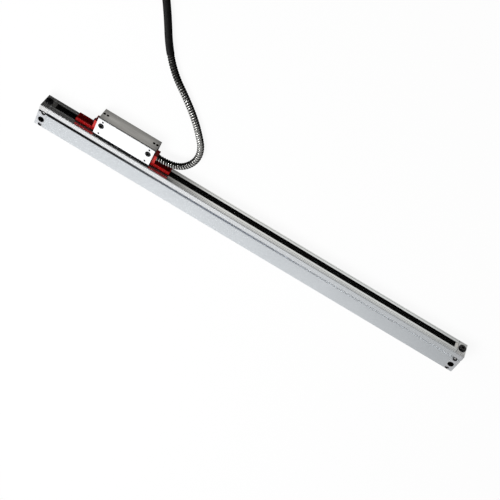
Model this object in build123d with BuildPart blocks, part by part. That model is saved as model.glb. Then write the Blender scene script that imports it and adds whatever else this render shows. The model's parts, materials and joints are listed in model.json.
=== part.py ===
"""Sealed linear glass scale with its sliding reader head, red transport brackets and armoured cable.

The scale lies on its mounting face, Z = 0, with the origin at that face's centre. X runs along the
scale, the slot and the reader head are on the -Y side, and the broad face with the holes is on top.
All lengths are in millimetres.
"""

from build123d import *
import math
import os

os.makedirs("parts", exist_ok=True)

# Scale unit, overall
body_length = 490.0
body_depth = 26.0
body_thickness = 19.5
edge_chamfer = 0.6
end_block_length = 9.0
gasket_thickness = 0.6

# Extrusion walls
floor_wall = 2.4
top_wall = 3.4
front_wall = 3.6
back_wall = 2.4
slot_centre_z = 9.1
slot_width = 7.8
seal_groove_width = 1.2
seal_groove_depth = 1.4
seal_groove_inset = 1.8
top_groove_width = 2.1
top_groove_depth = 1.6
top_groove_y = -5.9
face_line_heights = (2.35, 16.0, 17.9)
face_line_width = 0.35
face_line_depth = 0.25
channel_radius = 1.0

# Glass, its seat and its clamping cord
glass_thickness = 2.2
glass_width = 13.4
glass_end_gap = 2.0
glass_edge_gap = 0.05
cord_diameter = 1.4
cord_gap = 0.05
rib_height_above = 1.95
rib_height_below = 2.2
rib_reach = 6.0
corner_boss_width = 3.6

# Seal lips
lip_end_gap = 0.2
lip_anchor_thickness = 1.1
lip_tip_thickness = 0.4
lip_gap = 1.3
lip_tip_inset = 0.3

# End block features
plug_length = 5.0
plug_clearance = 0.2
tongue_inset = 0.6
tongue_length = 3.8
mount_hole_radius = 3.3
mount_hole_inset = 5.6
mount_hole_y = 4.0
vent_radius = 2.1
vent_inset = 6.1
vent_y = 10.5
vent_depth = 1.6
end_notch_radius = 0.9
end_notch_depth = 0.7
end_notch_y = -11.0
inlet_inset = 5.8
inlet_y = -4.8
inlet_radius = 2.5
inlet_depth = 3.0
inlet_fit = 0.02
inlet_ring_drop = 0.2
inlet_pin_radius = 1.2
inlet_pin_drop = 0.8
inlet_pin_chamfer = 0.2
slot_screw_inset = 4.6
slot_screw_sink = 2.6
slot_screw_shank = 8.0
slot_screw_thread_depth = 12.5
slot_bore_clearance = 0.1
end_screw_engagement = 6.0
buffer_length = 2.5

# Socket head cap screws: head diameter, head height, shank diameter, socket across flats
slot_face_screw = (8.0, 4.4, 3.9, 3.0)
m3_screw = (5.5, 3.0, 2.9, 2.5)
m2_screw = (3.5, 2.0, 1.9, 1.5)
screw_clearance = 0.15
bore_clearance = 0.35

# Reader head
head_x = 155.2
head_length = 64.0
head_gap = 2.8
head_depth = 19.9
head_floor_gap = 0.3
head_block_height = 15.9
cover_gasket_thickness = 0.9
cover_thickness = 0.8
head_chamfer = 0.3
head_wall = 2.4
head_end_wall = 9.5
board_thickness = 1.2
board_seat_z = 6.0
head_hole_radius = 1.45
head_hole_depth = 4.5
head_hole_z = 8.0
head_hole_outer_inset = 2.0
head_hole_inner_inset = 5.7
head_screw_inset = 5.4
head_screw_y = -28.0
head_screw_sink = 0.8
cover_screw_inset = 5.7
cover_screw_rows = (-33.2, -18.3)
cover_screw_radius = 1.0
index_line_z = 12.6
index_line_length = 8.0
index_line_width = 1.2
index_line_depth = 0.6
large_chip = (10.0, 6.0)
small_chip = (6.0, 6.0)
chip_thickness = 1.6
solder_block = (4.0, 7.0, 3.0)

# Blade and carriage
blade_thickness = 0.8
blade_length = 26.0
blade_clearance = 0.1
shelf_depth = 4.0
carriage_length = 52.0
carriage_clearance = 0.8
carriage_front_gap = 0.4
carriage_bridge = 2.1
carriage_glass_gap = 0.7
roller_radius = 2.0
roller_width = 2.0
roller_bevel = 0.3
roller_gap = 0.05
roller_pin_radius = 0.6
roller_bore_clearance = 0.03
roller_pocket_clearance = 0.3
face_roller_offset = 20.0
face_roller_y = -2.0
middle_roller_y = 2.5
middle_roller_width = 1.6
edge_roller_offset = 19.0
optics_y = -2.5

# Transport brackets
bracket_width = 9.2
bracket_leg = 3.6
bracket_tray_length = 17.9
bracket_tray_height = 4.7
bracket_wall = 1.3
bracket_gap = 0.3
bracket_corner = 0.5
bracket_screw_head = 1.6
bracket_leg_top = 14.0
fork_width = 10.4

# Cable
cable_diameter = 7.0
cable_exit_y = -22.6
cable_exit_z = 8.8
ferrule_radius = 3.75
ferrule_reach = 0.9
spigot_radius = 2.4
spigot_length = 9.0
fork_clearance = 0.2

# Coil of the cable's stored length
coil_rings = 3
coil_layers = 3
coil_mean_radius = 45.5

# Nine-pole plug
hood_length = 34.0
hood_width = 31.0
hood_height = 15.0
hood_neck_length = 12.0
hood_neck_width = 15.0
hood_shoulder = 3.0
hood_wall = 1.5
core_hole_radius = 2.2
nut_radius = 6.0
nut_length = 4.0
thumbscrew_offset = 12.5
thumbscrew_radius = 1.4
thumbscrew_clearance = 0.08
knob_radius = 2.9
knob_length = 6.5
knob_gap = 0.2
knob_ribs = 12
knob_groove_radius = 0.3
hood_screw_x = 6.6
hood_screw_radius = 0.95
hood_screw_length = 4.5
hood_screw_head = 1.4
hood_screw_head_radius = 1.9
screw_post_radius = 2.2
flange_height = 12.5
flange_thickness = 1.0
shell_length = 6.0
shell_width = 16.9
shell_height = 8.3
shell_wall = 0.5
shell_corner = 2.4
insert_gap = 0.05
insert_back = 8.0
pin_radius = 0.5
pin_tail = 3.0
pin_pitch = 2.77
upper_row_pins = 5
lower_row_pins = 4
pin_row_height = 1.42

# Worked-out places on the scale unit
half_length = body_length / 2
front_y = -body_depth / 2
back_y = body_depth / 2
end_block_x = half_length - end_block_length
housing_half = end_block_x - gasket_thickness
plug_end_x = end_block_x - plug_length
glass_length = 2 * (plug_end_x - glass_end_gap)
lip_length = 2 * (end_block_x - tongue_length - lip_end_gap)
cavity_front_y = front_y + front_wall
cavity_back_y = back_y - back_wall
cavity_top_z = body_thickness - top_wall
slot_low_z = slot_centre_z - slot_width / 2
slot_high_z = slot_centre_z + slot_width / 2
glass_low_z = slot_centre_z - glass_thickness / 2
glass_high_z = slot_centre_z + glass_thickness / 2
cord_space = cord_diameter + cord_gap
rib_front_y = cavity_back_y - rib_reach
glass_back_y = cavity_back_y - glass_edge_gap - 1.35
glass_front_y = glass_back_y - glass_width
seal_groove_y = front_y + seal_groove_inset + seal_groove_width / 2
channels = (
    (front_y + 2.1, body_thickness - 2.6),
    (front_y + 2.1, 1.9),
    (cavity_back_y - 1.7, floor_wall + 1.0),
    (cavity_back_y - 1.7, body_thickness - 1.9),
)


def block(x, y, z):
    """A box between three (low, high) pairs, for use inside a part block."""
    with Locations(((x[0] + x[1]) / 2, (y[0] + y[1]) / 2, (z[0] + z[1]) / 2)):
        return Box(x[1] - x[0], y[1] - y[0], z[1] - z[0], mode=Mode.PRIVATE)


def area(y, z):
    """A rectangle in a section seen along X, between two (low, high) pairs."""
    with Locations(((y[0] + y[1]) / 2, (z[0] + z[1]) / 2)):
        return Rectangle(y[1] - y[0], z[1] - z[0], mode=Mode.PRIVATE)


def cap_screw(size, shank_length):
    """Socket head cap screw: bearing face at Z = 0, head above it, shank below it."""
    head_diameter, head_height, shank_diameter, socket = size
    with BuildPart() as screw:
        with BuildSketch():
            Circle(head_diameter / 2)
        extrude(amount=head_height)
        chamfer(screw.edges().group_by(Axis.Z)[-1], head_height / 12)
        with BuildSketch():
            Circle(shank_diameter / 2)
        extrude(amount=-shank_length)
        with BuildSketch(Plane.XY.offset(head_height)):
            RegularPolygon(socket / 2, 6, major_radius=False)
        extrude(amount=-head_height / 2, mode=Mode.SUBTRACT)
    return screw.part


def write(builder, name):
    """Label a finished piece and write it to its own file."""
    builder.part.label = name
    export_step(builder.part, f"parts/{name}.step")


# Outline that the extrusion, the gaskets and the end blocks share
with BuildSketch(Plane.YZ) as body_outline:
    with Locations((0, body_thickness / 2)):
        Rectangle(body_depth, body_thickness)
    chamfer(body_outline.vertices(), edge_chamfer)
    with Locations((top_groove_y, body_thickness - top_groove_depth / 2)):
        Rectangle(top_groove_width, top_groove_depth, mode=Mode.SUBTRACT)
    for line_z in face_line_heights:
        with Locations((front_y + face_line_depth / 2, line_z)):
            Rectangle(face_line_depth, face_line_width, mode=Mode.SUBTRACT)

# Hollow section: cavity, slot, seal grooves, ribs that seat the glass, screw channels
with BuildSketch(Plane.YZ) as housing_section:
    add(body_outline.sketch_local)
    add(area((cavity_front_y, cavity_back_y), (floor_wall, cavity_top_z)), mode=Mode.SUBTRACT)
    add(area((front_y - 1, cavity_front_y + 1), (slot_low_z, slot_high_z)), mode=Mode.SUBTRACT)
    with Locations((seal_groove_y, slot_centre_z)):
        Rectangle(seal_groove_width, slot_width + 2 * seal_groove_depth, mode=Mode.SUBTRACT)
    rib_top_z = glass_high_z + cord_space + rib_height_above
    add(area((rib_front_y, cavity_back_y), (glass_low_z - rib_height_below, rib_top_z)))
    add(area((cavity_back_y - corner_boss_width, cavity_back_y), (floor_wall, glass_low_z)))
    add(
        area((rib_front_y - 1, glass_back_y + glass_edge_gap), (glass_low_z, glass_high_z + cord_space)),
        mode=Mode.SUBTRACT,
    )
    with Locations(channels):
        Circle(channel_radius, mode=Mode.SUBTRACT)

with BuildPart() as scale_housing:
    extrude(housing_section.sketch, amount=housing_half, both=True)
write(scale_housing, "scale_housing")

# Gaskets between the extrusion and the end blocks
with BuildPart() as end_gasket_left:
    extrude(
        housing_section.sketch.moved(Location((housing_half, 0, 0))),
        amount=gasket_thickness,
        dir=(1, 0, 0),
    )
write(end_gasket_left, "end_gasket_left")

with BuildPart() as end_gasket_right:
    mirror(end_gasket_left.part, about=Plane.YZ)
write(end_gasket_right, "end_gasket_right")

# End block with its plug in the cavity and its tongue in the slot
slot_screw_x = half_length - slot_screw_inset
slot_screw_seat_y = front_y + slot_screw_sink
tongue_y = front_y + tongue_inset
mount_hole_x = half_length - mount_hole_inset
inlet_x = half_length - inlet_inset
end_screw_recess = m2_screw[1] + 0.2

with BuildPart() as end_block_left:
    extrude(
        body_outline.sketch.moved(Location((end_block_x, 0, 0))),
        amount=end_block_length,
        dir=(1, 0, 0),
    )
    add(
        block(
            (plug_end_x, end_block_x),
            (cavity_front_y + plug_clearance, rib_front_y - plug_clearance),
            (floor_wall + plug_clearance, cavity_top_z - plug_clearance),
        )
    )
    add(
        block(
            (end_block_x - tongue_length, end_block_x),
            (tongue_y, cavity_front_y + 1),
            (slot_low_z + plug_clearance, slot_high_z - plug_clearance),
        )
    )
    # Mounting hole right through, and blind recesses in the broad face
    with BuildSketch():
        with Locations((mount_hole_x, mount_hole_y)):
            Circle(mount_hole_radius)
    extrude(amount=body_thickness, mode=Mode.SUBTRACT)
    with Locations((inlet_x, inlet_y, body_thickness)):
        Hole(inlet_radius, depth=inlet_depth)
    with Locations((half_length - vent_inset, vent_y, body_thickness)):
        Hole(vent_radius, depth=vent_depth)
    with Locations((half_length, end_notch_y, body_thickness)):
        Hole(end_notch_radius, depth=end_notch_depth)
    # Counterbored hole for the screw on the slot face
    with Locations(Plane((slot_screw_x, front_y, slot_centre_z), z_dir=(0, -1, 0))):
        CounterBoreHole(
            slot_face_screw[2] / 2 + screw_clearance / 2,
            slot_face_screw[0] / 2 + slot_bore_clearance,
            slot_screw_sink,
            depth=slot_screw_thread_depth,
        )
    # Counterbored holes for the four end screws
    with Locations(*[Plane((half_length, y, z), z_dir=(1, 0, 0)) for y, z in channels]):
        CounterBoreHole(channel_radius, m2_screw[0] / 2 + screw_clearance / 2, end_screw_recess)
write(end_block_left, "end_block_left")

with BuildPart() as end_block_right:
    mirror(end_block_left.part, about=Plane.YZ)
write(end_block_right, "end_block_right")

# Glass scale and the round rubber cord that holds it down on its rib
with BuildPart() as glass_scale:
    add(
        block(
            (-glass_length / 2, glass_length / 2),
            (glass_front_y, glass_back_y),
            (glass_low_z, glass_high_z),
        )
    )
write(glass_scale, "glass_scale")

with BuildPart() as glass_clamp_cord:
    with BuildSketch(Plane.YZ.offset(-glass_length / 2)):
        with Locations((glass_back_y - 2.3, glass_high_z + cord_space / 2)):
            Circle(cord_diameter / 2)
    extrude(amount=glass_length)
write(glass_clamp_cord, "glass_clamp_cord")

# Seal lips: anchored in the slot's grooves, they lean outwards and leave room for the blade
anchor_front_y = seal_groove_y - lip_anchor_thickness / 2
anchor_back_y = seal_groove_y + lip_anchor_thickness / 2
lip_anchor_end_z = slot_high_z + seal_groove_depth - 0.05
lip_tip_z = slot_centre_z + lip_gap / 2
lip_tip_y = front_y + lip_tip_inset

with BuildPart() as upper_seal_lip:
    with BuildSketch(Plane.YZ) as lip_profile:
        with BuildLine():
            Polyline(
                (anchor_front_y, lip_anchor_end_z),
                (anchor_front_y, slot_high_z - 0.2),
                (lip_tip_y, lip_tip_z + 0.1),
                (lip_tip_y + lip_tip_thickness, lip_tip_z),
                (anchor_back_y - 0.2, slot_high_z - 0.6),
                (anchor_back_y, slot_high_z - 0.2),
                (anchor_back_y, lip_anchor_end_z),
                close=True,
            )
        make_face()
    extrude(amount=lip_length / 2, both=True)
write(upper_seal_lip, "upper_seal_lip")

with BuildPart() as lower_seal_lip:
    mirror(upper_seal_lip.part, about=Plane.XY.offset(slot_centre_z))
write(lower_seal_lip, "lower_seal_lip")

# Bright plates over the lips' ends, seated on the end blocks' tongues
with BuildPart() as lip_clamps:
    add(
        block(
            (end_block_x - tongue_length + 0.1, end_block_x - 0.2),
            (front_y + 0.05, tongue_y),
            (slot_low_z + plug_clearance, slot_high_z - plug_clearance),
        )
    )
    chamfer(lip_clamps.edges().filter_by(Axis.Z).group_by(Axis.Y)[0], 0.3)
    mirror(about=Plane.YZ)
write(lip_clamps, "lip_clamps")

slot_screw = cap_screw(slot_face_screw, slot_screw_shank)
with BuildPart() as slot_face_screws:
    with Locations(Plane((slot_screw_x, slot_screw_seat_y, slot_centre_z), z_dir=(0, -1, 0))):
        add(slot_screw)
    mirror(about=Plane.YZ)
write(slot_face_screws, "slot_face_screws")

end_screw = cap_screw(m2_screw, end_block_length + gasket_thickness + end_screw_engagement)
with BuildPart() as end_screws:
    seats = [Plane((half_length - end_screw_recess, y, z), z_dir=(1, 0, 0)) for y, z in channels]
    with Locations(*seats):
        add(end_screw)
    mirror(about=Plane.YZ)
write(end_screws, "end_screws")

# Ringed pins on the broad face of the end blocks
with BuildPart() as air_inlet_rings:
    with BuildSketch(Plane.XY.offset(body_thickness - inlet_depth)):
        with Locations((inlet_x, inlet_y)):
            Circle(inlet_radius - inlet_fit)
            Circle(inlet_pin_radius + inlet_fit, mode=Mode.SUBTRACT)
    extrude(amount=inlet_depth - inlet_ring_drop)
    mirror(about=Plane.YZ)
write(air_inlet_rings, "air_inlet_rings")

with BuildPart() as air_inlet_pins:
    with BuildSketch(Plane.XY.offset(body_thickness - inlet_depth)):
        with Locations((inlet_x, inlet_y)):
            Circle(inlet_pin_radius)
    extrude(amount=inlet_depth - inlet_pin_drop)
    chamfer(air_inlet_pins.edges().group_by(Axis.Z)[-1], inlet_pin_chamfer)
    mirror(about=Plane.YZ)
write(air_inlet_pins, "air_inlet_pins")

# Rubber stops on the plugs' inner faces
with BuildPart() as buffer_left:
    add(
        block(
            (plug_end_x - buffer_length, plug_end_x),
            (cavity_front_y + 0.6, glass_front_y - 0.8),
            (floor_wall + 1.4, cavity_top_z - 1.4),
        )
    )
    fillet(buffer_left.edges().filter_by(Axis.Z).group_by(Axis.X)[0], 0.8)
write(buffer_left, "buffer_left")

with BuildPart() as buffer_right:
    mirror(buffer_left.part, about=Plane.YZ)
write(buffer_right, "buffer_right")

# Reader head: block, gasket, cover
head_half = head_length / 2
head_inner_y = front_y - head_gap
head_outer_y = head_inner_y - head_depth
head_mid_y = (head_inner_y + head_outer_y) / 2
head_low_z = head_floor_gap
head_block_top_z = head_low_z + head_block_height
cover_low_z = head_block_top_z + cover_gasket_thickness
head_top_z = cover_low_z + cover_thickness
pocket_half = head_half - head_end_wall
pocket_inner_y = head_inner_y - head_wall
pocket_outer_y = head_outer_y + head_wall
shelf_y = pocket_inner_y - shelf_depth
blade_low_z = slot_centre_z - blade_thickness / 2
blade_high_z = slot_centre_z + blade_thickness / 2
ledge = 1.6
head_screw_seat_z = head_block_top_z - head_screw_sink
head_screw_spots = [(head_x + s * (head_half - head_screw_inset), head_screw_y) for s in (-1, 1)]
cover_screw_offset = head_half - cover_screw_inset
cover_screw_spots = [(head_x + s * cover_screw_offset, y) for s in (-1, 1) for y in cover_screw_rows]
left_end_x = head_x + head_half
right_end_x = head_x - head_half

# Blade: its root lies on the head's shelf and its tip reaches into the carriage's bridge
carriage_front_y = cavity_front_y + carriage_front_gap
bridge_back_y = carriage_front_y + carriage_bridge
blade_tip_y = bridge_back_y - 0.7
blade_root_y = shelf_y + 0.2
blade_screw_y = (blade_root_y + pocket_inner_y) / 2
blade_screw_spots = [(head_x + s * 8.0, blade_screw_y) for s in (-1, 1)]

with BuildPart() as head_block:
    add(
        block(
            (right_end_x, left_end_x),
            (head_outer_y, head_inner_y),
            (head_low_z, head_block_top_z),
        )
    )
    chamfer(head_block.edges().group_by(Axis.Z)[0], head_chamfer)
    # Pocket for the board, with a ledge under it, and the shelf that carries the blade
    add(
        block(
            (head_x - pocket_half, head_x + pocket_half),
            (pocket_outer_y, shelf_y),
            (board_seat_z, head_block_top_z + 1),
        ),
        mode=Mode.SUBTRACT,
    )
    add(
        block(
            (head_x - pocket_half + ledge, head_x + pocket_half - ledge),
            (pocket_outer_y + ledge, shelf_y - ledge),
            (board_seat_z - 3.0, board_seat_z + 1),
        ),
        mode=Mode.SUBTRACT,
    )
    add(
        block(
            (head_x - pocket_half, head_x + pocket_half),
            (shelf_y - 1, pocket_inner_y),
            (blade_low_z, head_block_top_z + 1),
        ),
        mode=Mode.SUBTRACT,
    )
    # Slot in the wall for the blade
    add(
        block(
            (head_x - blade_length / 2 - blade_clearance, head_x + blade_length / 2 + blade_clearance),
            (pocket_inner_y - 1, head_inner_y + 1),
            (blade_low_z, blade_high_z + blade_clearance),
        ),
        mode=Mode.SUBTRACT,
    )
    # Bore for the cable's spigot in the right end
    with Locations(Plane((right_end_x, cable_exit_y, cable_exit_z), z_dir=(-1, 0, 0))):
        Hole(spigot_radius + 0.05, depth=head_end_wall + 1)
    # Tapped holes in the outer face
    hole_offsets = (head_half - head_hole_outer_inset, head_half - head_hole_inner_inset)
    hole_spots = [(head_x + s * offset, head_outer_y, head_hole_z) for s in (-1, 1) for offset in hole_offsets]
    with Locations(*[Plane(spot, z_dir=(0, -1, 0)) for spot in hole_spots]):
        Hole(head_hole_radius, depth=head_hole_depth)
    # Seats of the two mounting screws and threads of the cover screws
    with Locations(*[(x, y, head_block_top_z) for x, y in head_screw_spots]):
        CounterBoreHole(
            m3_screw[2] / 2 + screw_clearance / 2,
            m3_screw[0] / 2 + bore_clearance,
            head_screw_sink,
        )
    with Locations(*[(x, y, head_block_top_z) for x, y in cover_screw_spots]):
        Hole(cover_screw_radius * 0.8, depth=3.6)
    # Tapped hole for the left bracket's screw
    bracket_screw_z = slot_centre_z + 0.2
    with Locations(Plane((left_end_x, cable_exit_y, bracket_screw_z), z_dir=(1, 0, 0))):
        Hole(m3_screw[2] / 2 + screw_clearance / 2, depth=7.0)
    # Threads for the blade's screws, in the shelf
    with Locations(*[(x, y, blade_low_z) for x, y in blade_screw_spots]):
        Hole(m2_screw[2] / 2 + screw_clearance / 2, depth=3.8)
    # Index lines at both ends of the outer face
    for side in (-1, 1):
        with BuildSketch(Plane((head_x, head_outer_y, index_line_z), z_dir=(0, -1, 0))):
            with Locations((side * head_half, 0)):
                SlotOverall(2 * index_line_length, index_line_width)
        extrude(amount=-index_line_depth, mode=Mode.SUBTRACT)
write(head_block, "head_block")


def cover_layer(low_z, thickness, inset):
    """A flat layer on the head block with the screws' clearance holes and, if inset, an open middle."""
    with BuildPart() as layer:
        with BuildSketch(Plane.XY.offset(low_z)):
            with Locations((head_x, head_mid_y)):
                Rectangle(head_length, head_depth)
            with Locations(*head_screw_spots):
                Circle(m3_screw[0] / 2 + bore_clearance, mode=Mode.SUBTRACT)
            with Locations(*cover_screw_spots):
                Circle(cover_screw_radius + 0.05, mode=Mode.SUBTRACT)
            if inset:
                with Locations((head_x, (pocket_inner_y + pocket_outer_y) / 2)):
                    Rectangle(2 * pocket_half, pocket_inner_y - pocket_outer_y, mode=Mode.SUBTRACT)
        extrude(amount=thickness)
    return layer.part


gasket_layer = cover_layer(head_block_top_z, cover_gasket_thickness, True)
plate_layer = cover_layer(cover_low_z, cover_thickness, False)

with BuildPart() as cover_gasket:
    add(gasket_layer)
write(cover_gasket, "cover_gasket")

with BuildPart() as head_cover:
    add(plate_layer)
    chamfer(head_cover.edges().filter_by(GeomType.LINE).group_by(Axis.Z)[-1], head_chamfer / 2)
write(head_cover, "head_cover")

head_screw = cap_screw(m3_screw, head_screw_seat_z - head_low_z - 0.6)
with BuildPart() as head_mount_screws:
    with Locations(*[(x, y, head_screw_seat_z) for x, y in head_screw_spots]):
        add(head_screw)
write(head_mount_screws, "head_mount_screws")

with BuildPart() as cover_screws:
    with BuildSketch(Plane.XY.offset(head_top_z)):
        with Locations(*cover_screw_spots):
            Circle(cover_screw_radius)
    extrude(amount=-(cover_thickness + cover_gasket_thickness))
    with BuildSketch(Plane.XY.offset(head_block_top_z)):
        with Locations(*cover_screw_spots):
            Circle(cover_screw_radius * 0.75)
    extrude(amount=-3.4)
    with BuildSketch(Plane.XY.offset(head_top_z)):
        with Locations(*cover_screw_spots):
            RegularPolygon(cover_screw_radius * 0.45, 6)
    extrude(amount=-0.6, mode=Mode.SUBTRACT)
write(cover_screws, "cover_screws")

# Board with its amplifier chips and the solder block of the cable's cores
with BuildPart() as signal_board:
    board_top_z = board_seat_z + board_thickness
    board_mid_y = (pocket_outer_y + shelf_y) / 2
    add(
        block(
            (head_x - pocket_half + 0.2, head_x + pocket_half - 0.2),
            (pocket_outer_y + 0.2, shelf_y - 0.2),
            (board_seat_z, board_top_z),
        )
    )
    with BuildSketch(Plane.XY.offset(board_top_z)):
        with Locations((head_x - large_chip[0] / 2, board_mid_y)):
            Rectangle(*large_chip)
        with Locations((head_x + large_chip[0], board_mid_y)):
            Rectangle(*small_chip)
    extrude(amount=chip_thickness)
    with BuildSketch(Plane.XY.offset(board_top_z)):
        with Locations((head_x - pocket_half + solder_block[0], board_mid_y)):
            Rectangle(*solder_block[:2])
    extrude(amount=solder_block[2])
write(signal_board, "signal_board")

# The blade passes between the lips and draws the carriage along
with BuildPart() as blade:
    add(
        block(
            (head_x - blade_length / 2, head_x + blade_length / 2),
            (blade_root_y, blade_tip_y),
            (blade_low_z, blade_high_z),
        )
    )
    chamfer(blade.edges().filter_by(Axis.Y), blade_thickness * 0.4)
    with Locations(*[(x, y, blade_high_z) for x, y in blade_screw_spots]):
        Hole(m2_screw[2] / 2 + screw_clearance / 2)
write(blade, "blade")

blade_screw = cap_screw(m2_screw, blade_thickness + 3.5)
with BuildPart() as blade_screws:
    with Locations(*[(x, y, blade_high_z) for x, y in blade_screw_spots]):
        add(blade_screw)
write(blade_screws, "blade_screws")

# Carriage: a C-shaped frame that straddles the glass, with rollers on its face and its front edge
carriage_low_z = floor_wall + carriage_clearance
carriage_high_z = cavity_top_z - carriage_clearance
carriage_back_y = rib_front_y - carriage_clearance
gap_low_z = glass_low_z - carriage_glass_gap
gap_high_z = glass_high_z + carriage_glass_gap
face_roller_z = glass_high_z + roller_gap + roller_radius
edge_roller_y = glass_front_y - roller_gap - roller_radius
roller_pocket = roller_radius + roller_pocket_clearance
pocket_side = 0.2
face_rollers = {
    "face_roller_1": (head_x - face_roller_offset, face_roller_y, roller_width),
    "face_roller_2": (head_x + face_roller_offset, face_roller_y, roller_width),
    "face_roller_3": (head_x, middle_roller_y, middle_roller_width),
}
edge_rollers = {
    "edge_roller_1": head_x - edge_roller_offset,
    "edge_roller_2": head_x + edge_roller_offset,
}
emitter_bore = 2.5
pin_hold = 1.6
grating_size = (12.0, 5.0, 1.0)
grating_gap = 0.15
chip_height = 0.65
grating_low_z = glass_high_z + grating_gap
detector_z = grating_low_z + grating_size[2] + chip_height
detector_size = (16.0, 6.6, 1.0)

with BuildPart() as roller_pins:
    for x, y, width in face_rollers.values():
        with BuildSketch(Plane((x, y, face_roller_z), z_dir=(0, 1, 0))):
            Circle(roller_pin_radius)
        extrude(amount=width / 2 + min(pin_hold, carriage_back_y - y - width / 2 - 0.1), both=True)
    for x in edge_rollers.values():
        with BuildSketch(Plane((x, edge_roller_y, slot_centre_z))):
            Circle(roller_pin_radius)
        extrude(amount=carriage_glass_gap + glass_thickness / 2 + pin_hold, both=True)
write(roller_pins, "roller_pins")

with BuildPart() as carriage_frame:
    add(
        block(
            (head_x - carriage_length / 2, head_x + carriage_length / 2),
            (carriage_front_y, carriage_back_y),
            (carriage_low_z, carriage_high_z),
        )
    )
    add(
        block(
            (head_x - carriage_length, head_x + carriage_length),
            (bridge_back_y, carriage_back_y + 1),
            (gap_low_z, gap_high_z),
        ),
        mode=Mode.SUBTRACT,
    )
    chamfer(carriage_frame.edges().filter_by(Axis.Y).group_by(Axis.Z)[-1], 1.0)
    # Pocket in the bridge for the blade's tip
    add(
        block(
            (head_x - blade_length / 2 - blade_clearance, head_x + blade_length / 2 + blade_clearance),
            (carriage_front_y - 1, blade_tip_y + 0.1),
            (blade_low_z - 0.05, blade_high_z + 0.05),
        ),
        mode=Mode.SUBTRACT,
    )
    # Pockets and pin holes of the face rollers
    for x, y, width in face_rollers.values():
        add(
            block(
                (x - roller_pocket, x + roller_pocket),
                (y - width / 2 - pocket_side, y + width / 2 + pocket_side),
                (gap_high_z - 0.5, face_roller_z + roller_pocket),
            ),
            mode=Mode.SUBTRACT,
        )
    # Pockets of the edge rollers
    for x in edge_rollers.values():
        add(
            block(
                (x - roller_pocket, x + roller_pocket),
                (edge_roller_y - roller_pocket, bridge_back_y + 0.5),
                (slot_centre_z - roller_width / 2 - pocket_side, slot_centre_z + roller_width / 2 + pocket_side),
            ),
            mode=Mode.SUBTRACT,
        )
    # Window for the grating and the detector, bore for the lamp and its lens
    add(
        block(
            (head_x - grating_size[0] / 2 - 0.2, head_x + grating_size[0] / 2 + 0.2),
            (optics_y - grating_size[1] / 2 - 0.2, optics_y + grating_size[1] / 2 + 0.2),
            (gap_high_z - 1, carriage_high_z + 1),
        ),
        mode=Mode.SUBTRACT,
    )
    add(
        block(
            (head_x - detector_size[0] / 2 - 0.2, head_x + detector_size[0] / 2 + 0.2),
            (optics_y - detector_size[1] / 2 - 0.2, optics_y + detector_size[1] / 2 + 0.2),
            (detector_z, carriage_high_z + 1),
        ),
        mode=Mode.SUBTRACT,
    )
    with BuildSketch(Plane.XY.offset(carriage_low_z)):
        with Locations((head_x, optics_y)):
            Circle(emitter_bore)
    extrude(amount=gap_low_z - carriage_low_z, mode=Mode.SUBTRACT)
    add(roller_pins.part, mode=Mode.SUBTRACT)
write(carriage_frame, "carriage_frame")


def roller(width):
    """A miniature bearing about the Z axis: bore, flat side faces, bevelled rim."""
    bore = roller_pin_radius + roller_bore_clearance
    with BuildPart() as ring:
        with BuildSketch(Plane.XZ):
            with BuildLine():
                Polyline(
                    (bore, -width / 2),
                    (roller_radius - roller_bevel, -width / 2),
                    (roller_radius, -width / 2 + roller_bevel),
                    (roller_radius, width / 2 - roller_bevel),
                    (roller_radius - roller_bevel, width / 2),
                    (bore, width / 2),
                    close=True,
                )
            make_face()
        revolve(axis=Axis.Z)
    return ring.part


for roller_name, (x, y, width) in face_rollers.items():
    wheel = roller(width)
    with BuildPart() as face_roller:
        with Locations(Plane((x, y, face_roller_z), z_dir=(0, 1, 0))):
            add(wheel)
    write(face_roller, roller_name)

for roller_name, x in edge_rollers.items():
    wheel = roller(roller_width)
    with BuildPart() as edge_roller:
        with Locations((x, edge_roller_y, slot_centre_z)):
            add(wheel)
    write(edge_roller, roller_name)

# Lamp and lens in the lower arm
with BuildPart() as emitter:
    with BuildSketch(Plane.XZ.offset(-optics_y)):
        with BuildLine():
            Polyline(
                (head_x, carriage_low_z),
                (head_x + emitter_bore - 0.1, carriage_low_z),
                (head_x + emitter_bore - 0.1, carriage_low_z + 0.8),
                (head_x + 1.5, carriage_low_z + 0.8),
                (head_x + 1.5, carriage_low_z + 1.2),
            )
            Line((head_x, carriage_low_z), (head_x, carriage_low_z + 2.7))
            RadiusArc((head_x + 1.5, carriage_low_z + 1.2), (head_x, carriage_low_z + 2.7), -1.5)
        make_face()
    revolve(axis=Axis((head_x, optics_y, 0), (0, 0, 1)))
write(emitter, "emitter")

lens_radius = emitter_bore - 0.05
lens_base_z = gap_low_z - 1.2
lens_thickness = 1.0
lens_curve = 5.3
with BuildPart() as collimator_lens:
    with BuildSketch(Plane.XY.offset(lens_base_z)):
        with Locations((head_x, optics_y)):
            Circle(lens_radius)
    extrude(amount=lens_thickness)
    with Locations((head_x, optics_y, lens_base_z + lens_thickness - lens_curve)):
        Sphere(lens_curve, mode=Mode.INTERSECT)
write(collimator_lens, "collimator_lens")

with BuildPart() as index_grating:
    with Locations((head_x, optics_y, grating_low_z + grating_size[2] / 2)):
        Box(*grating_size)
write(index_grating, "index_grating")

with BuildPart() as detector_board:
    with Locations((head_x, optics_y, detector_z + detector_size[2] / 2)):
        Box(*detector_size)
    with Locations((head_x, optics_y, detector_z - chip_height / 2)):
        Box(grating_size[0] - 3, grating_size[1] - 1.4, chip_height)
write(detector_board, "detector_board")

# Red brackets: an upright leg on the head's end and an open tray that keeps the gap to the slot
bracket_foot_y = front_y - bracket_gap
bracket_low_z = slot_centre_z - bracket_width / 2 + 0.2
tray_top_y = bracket_foot_y - bracket_tray_height


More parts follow.
